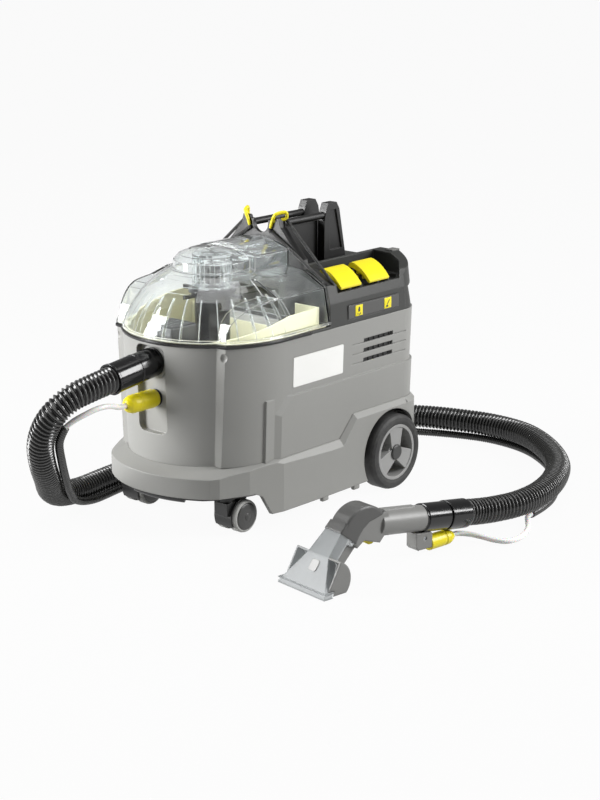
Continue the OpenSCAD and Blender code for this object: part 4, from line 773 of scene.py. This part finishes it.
stickLabel("spray")
for k, (x, z) in enumerate(dropSign["centres"]):
    printSign(f"drop_{k + 1}", "spray",
              [(x + dropSign["halfWidth"] * math.cos(t), z + dropSign["halfHeight"] * math.sin(t))
               for t in around(dropSign["points"])])
printSign("sprayNozzle", "spray", nozzleSign)
stickLabel("suction")
printSign("suctionMouth", "suction", mouthSign)
printSign("suctionTube", "suction", tubeSign)
print("switch labels: made")


# Small fixed fittings

skirtFeet = {"placesX": [-10.7, 64.6], "lengthMm": 15, "fromY": -150.4, "toY": -143, "lowMm": 17.5,
             "highMm": 27, "roundMm": 2.4}
for k, x in enumerate(skirtFeet["placesX"]):
    half = skirtFeet["lengthMm"] / 2
    softBox(f"skirtFoot_{k + 1}", (x - half, skirtFeet["fromY"], skirtFeet["lowMm"]),
            (x + half, skirtFeet["toY"], skirtFeet["highMm"]), "greyAbs", "machine", skirtFeet["roundMm"])

# lip under the bowed nose of the skirt
noseLip = {"centreX": -82, "bowMm": 157, "fromY": -60, "toY": 34, "everyMm": 4, "heightMm": 57,
           "thickMm": 6, "keel": 0.08, "keelPower": 3, "sides": 16}
lipPath = [at(noseLip["centreX"] - math.sqrt(noseLip["bowMm"] ** 2 - y * y), y, noseLip["heightMm"])
           for y in range(noseLip["fromY"], noseLip["toY"], noseLip["everyMm"])]


def lipRadius(s, t):
    return noseLip["thickMm"] / 1000 * (1 + noseLip["keel"] * abs(math.sin(t)) ** noseLip["keelPower"])


sweep("noseLip", lipPath, noseLip["everyMm"] / 1000, noseLip["sides"], lipRadius, "blackPolyamide", "machine")

# pan head screw with a recess, in the near side of the hand tool
toolScrew = {"along": 226, "deepMm": 7.2, "height": 25, "sides": 24,
             "profile": [(-0.4, 0), (-0.4, 2.7), (1.2, 2.7), (1.6, 2.3), (1.6, 1.2), (0.7, 1.1), (0.7, 0)]}
screwAxis = (onTool(0, -1, 0) - onTool(0, 0, 0)).normalized()
lathe("toolScrew", onTool(toolScrew["along"], -toolScrew["deepMm"], toolScrew["height"]), screwAxis,
      toolScrew["profile"], toolScrew["sides"], "zincSteel", "machine")

# domed caps on both sides of each pair of caster wheels
casterCaps = {"x": -159, "halfTrackMm": 99, "axleMm": 25, "outMm": 24.2, "sides": 28,
              "profile": [(0, 0), (0, 6.2), (0.9, 6.0), (1.6, 4.6), (1.9, 0)]}
for k, (label, side) in enumerate((("near", -1), ("far", 1))):
    for s in (-1, 1):
        y = side * casterCaps["halfTrackMm"] + s * casterCaps["outMm"]
        name = f"casterCap_{k + 1}_{'in' if s == side else 'out'}"
        lathe(name, at(casterCaps["x"], y, casterCaps["axleMm"]), Vector((0, s, 0)), casterCaps["profile"],
              casterCaps["sides"], "darkGreyAbs", f"caster_{label}_wheels")
print("fittings: made")


# Hand tool: bare plate and inner ribs of the clear nozzle

# the nozzle's front face runs from its mouth up to the end of the flare, in the tool's own frame
nozzleFace = {"mouth": Vector((-2, 0, 2.5)), "flare": Vector((28, 0, 44))}
nozzlePlate = {"along": 0.75, "acrossMm": -2, "widthMm": 15, "heightMm": 17, "proudMm": (-0.3, 0.7),
               "points": 24, "cornerPower": 0.35}
nozzleRibs = {"acrossMm": (-26, -9, 9, 26), "halfMm": 0.6, "gathering": 0.6,
              "outline": [(0.06, -2.2), (0.95, -2.2), (0.95, -4.2), (0.06, -8.0)]}
faceRun = nozzleFace["flare"] - nozzleFace["mouth"]


def onNozzle(along, across, proud):
    outward = Vector((-faceRun.z, 0, faceRun.x)).normalized()
    return onTool(*(nozzleFace["mouth"] + faceRun * along + Vector((0, across, 0)) + outward * proud))


def squared(value):
    # pushes a sine or cosine towards 1 or -1, which makes a circle a square with round corners
    return math.copysign(abs(value) ** nozzlePlate["cornerPower"], value)


halfUp, halfWide = nozzlePlate["heightMm"] / 2 / faceRun.length, nozzlePlate["widthMm"] / 2
plateOutline = [(nozzlePlate["along"] + halfUp * squared(math.sin(t)),
                 nozzlePlate["acrossMm"] + halfWide * squared(math.cos(t)))
                for t in around(nozzlePlate["points"], 0.5)]
loft("nozzlePlate", [[onNozzle(along, across, proud) for along, across in plateOutline]
                     for proud in nozzlePlate["proudMm"]], "palePolypropylene", "machine")
for k, across in enumerate(nozzleRibs["acrossMm"]):
    sides = [[onNozzle(along, across * (1 - nozzleRibs["gathering"] * along) + thick, proud)
              for along, proud in nozzleRibs["outline"]]
             for thick in (-nozzleRibs["halfMm"], nozzleRibs["halfMm"])]
    loft(f"nozzleRib_{k + 1}", sides, "smokyPolycarbonate", "machine")
print("hand tool: plate and ribs made")


# Floor, light and world

# sizes and places in metres, lamps in watts
studio = {"floor": "#a5a5a4", "floorSize": 30, "worldLight": 0.24, "seenGlow": 0.95, "aim": (0, 0, 0.2),
          "lamps": [("windowLeft", (-1.9, 1.75, 1.0), (0.9, 1.9), 120),
                    ("windowRight", (1.5, -2.1, 1.5), (1.0, 1.6), 86),
                    ("ceiling", (0.1, -0.2, 2.6), (1.8, 1.8), 26)]}

# matt background paper: lit by the lamps, and glowing a little where it is seen, so that it stays near white
floorMaterial = newMaterial("paperFloor")
paper = addNode(floorMaterial, "ShaderNodeBsdfDiffuse", inputs={"Color": toLinear(studio["floor"])})
glow = addNode(floorMaterial, "ShaderNodeEmission", inputs={"Color": toLinear("#ffffff"), "Strength": 1.0})
rays = addNode(floorMaterial, "ShaderNodeLightPath")
plain = addNode(floorMaterial, "ShaderNodeMath", {"operation": "MAXIMUM"},
                {0: rays.outputs["Is Camera Ray"], 1: rays.outputs["Is Glossy Ray"]})
seen = addNode(floorMaterial, "ShaderNodeMath", {"operation": "MAXIMUM"},
               {0: plain.outputs["Value"], 1: rays.outputs["Is Transmission Ray"]})
share = addNode(floorMaterial, "ShaderNodeMath", {"operation": "MULTIPLY"},
                {0: seen.outputs["Value"], 1: studio["seenGlow"]})
mixed = addNode(floorMaterial, "ShaderNodeMixShader",
                inputs={0: share.outputs["Value"], 1: paper.outputs["BSDF"], 2: glow.outputs["Emission"]})
finishMaterial(floorMaterial, mixed.outputs["Shader"])
bm = bmesh.new()
half = studio["floorSize"] / 2
bm.faces.new([bm.verts.new((x * half, y * half, 0)) for x, y in ((-1, -1), (1, -1), (1, 1), (-1, 1))])
floorMesh = bpy.data.meshes.new("floor")
bm.to_mesh(floorMesh)
bm.free()
floorMesh.materials.append(floorMaterial)
floor = bpy.data.objects.new("floor", floorMesh)
bpy.context.scene.collection.objects.link(floor)

for name, spot, size, power in studio["lamps"]:
    lampData = bpy.data.lights.new(name, "AREA")
    lampData.shape = "RECTANGLE"
    lampData.size, lampData.size_y = size
    lampData.energy = power
    lamp = bpy.data.objects.new(name, lampData)
    lamp.location = spot
    lamp.rotation_euler = (Vector(studio["aim"]) - Vector(spot)).to_track_quat("-Z", "Y").to_euler()
    bpy.context.scene.collection.objects.link(lamp)

# even white room, dim as a light and white where it is seen directly or through the clear pieces
world = bpy.data.worlds.new("studio")
world.use_nodes = True
world.node_tree.nodes.clear()
rays = addNode(world, "ShaderNodeLightPath")
seen = addNode(world, "ShaderNodeMath", {"operation": "MAXIMUM"},
               {0: rays.outputs["Is Camera Ray"], 1: rays.outputs["Is Transmission Ray"]})
strength = addNode(world, "ShaderNodeMapRange",
                   inputs={"Value": seen.outputs["Value"], "To Min": studio["worldLight"], "To Max": 1.0})
sky = addNode(world, "ShaderNodeBackground",
              inputs={"Color": toLinear("#ffffff"), "Strength": strength.outputs["Result"]})
addNode(world, "ShaderNodeOutputWorld", inputs={"Surface": sky.outputs["Background"]})
bpy.context.scene.world = world
print("studio: floor, lamps and world made")
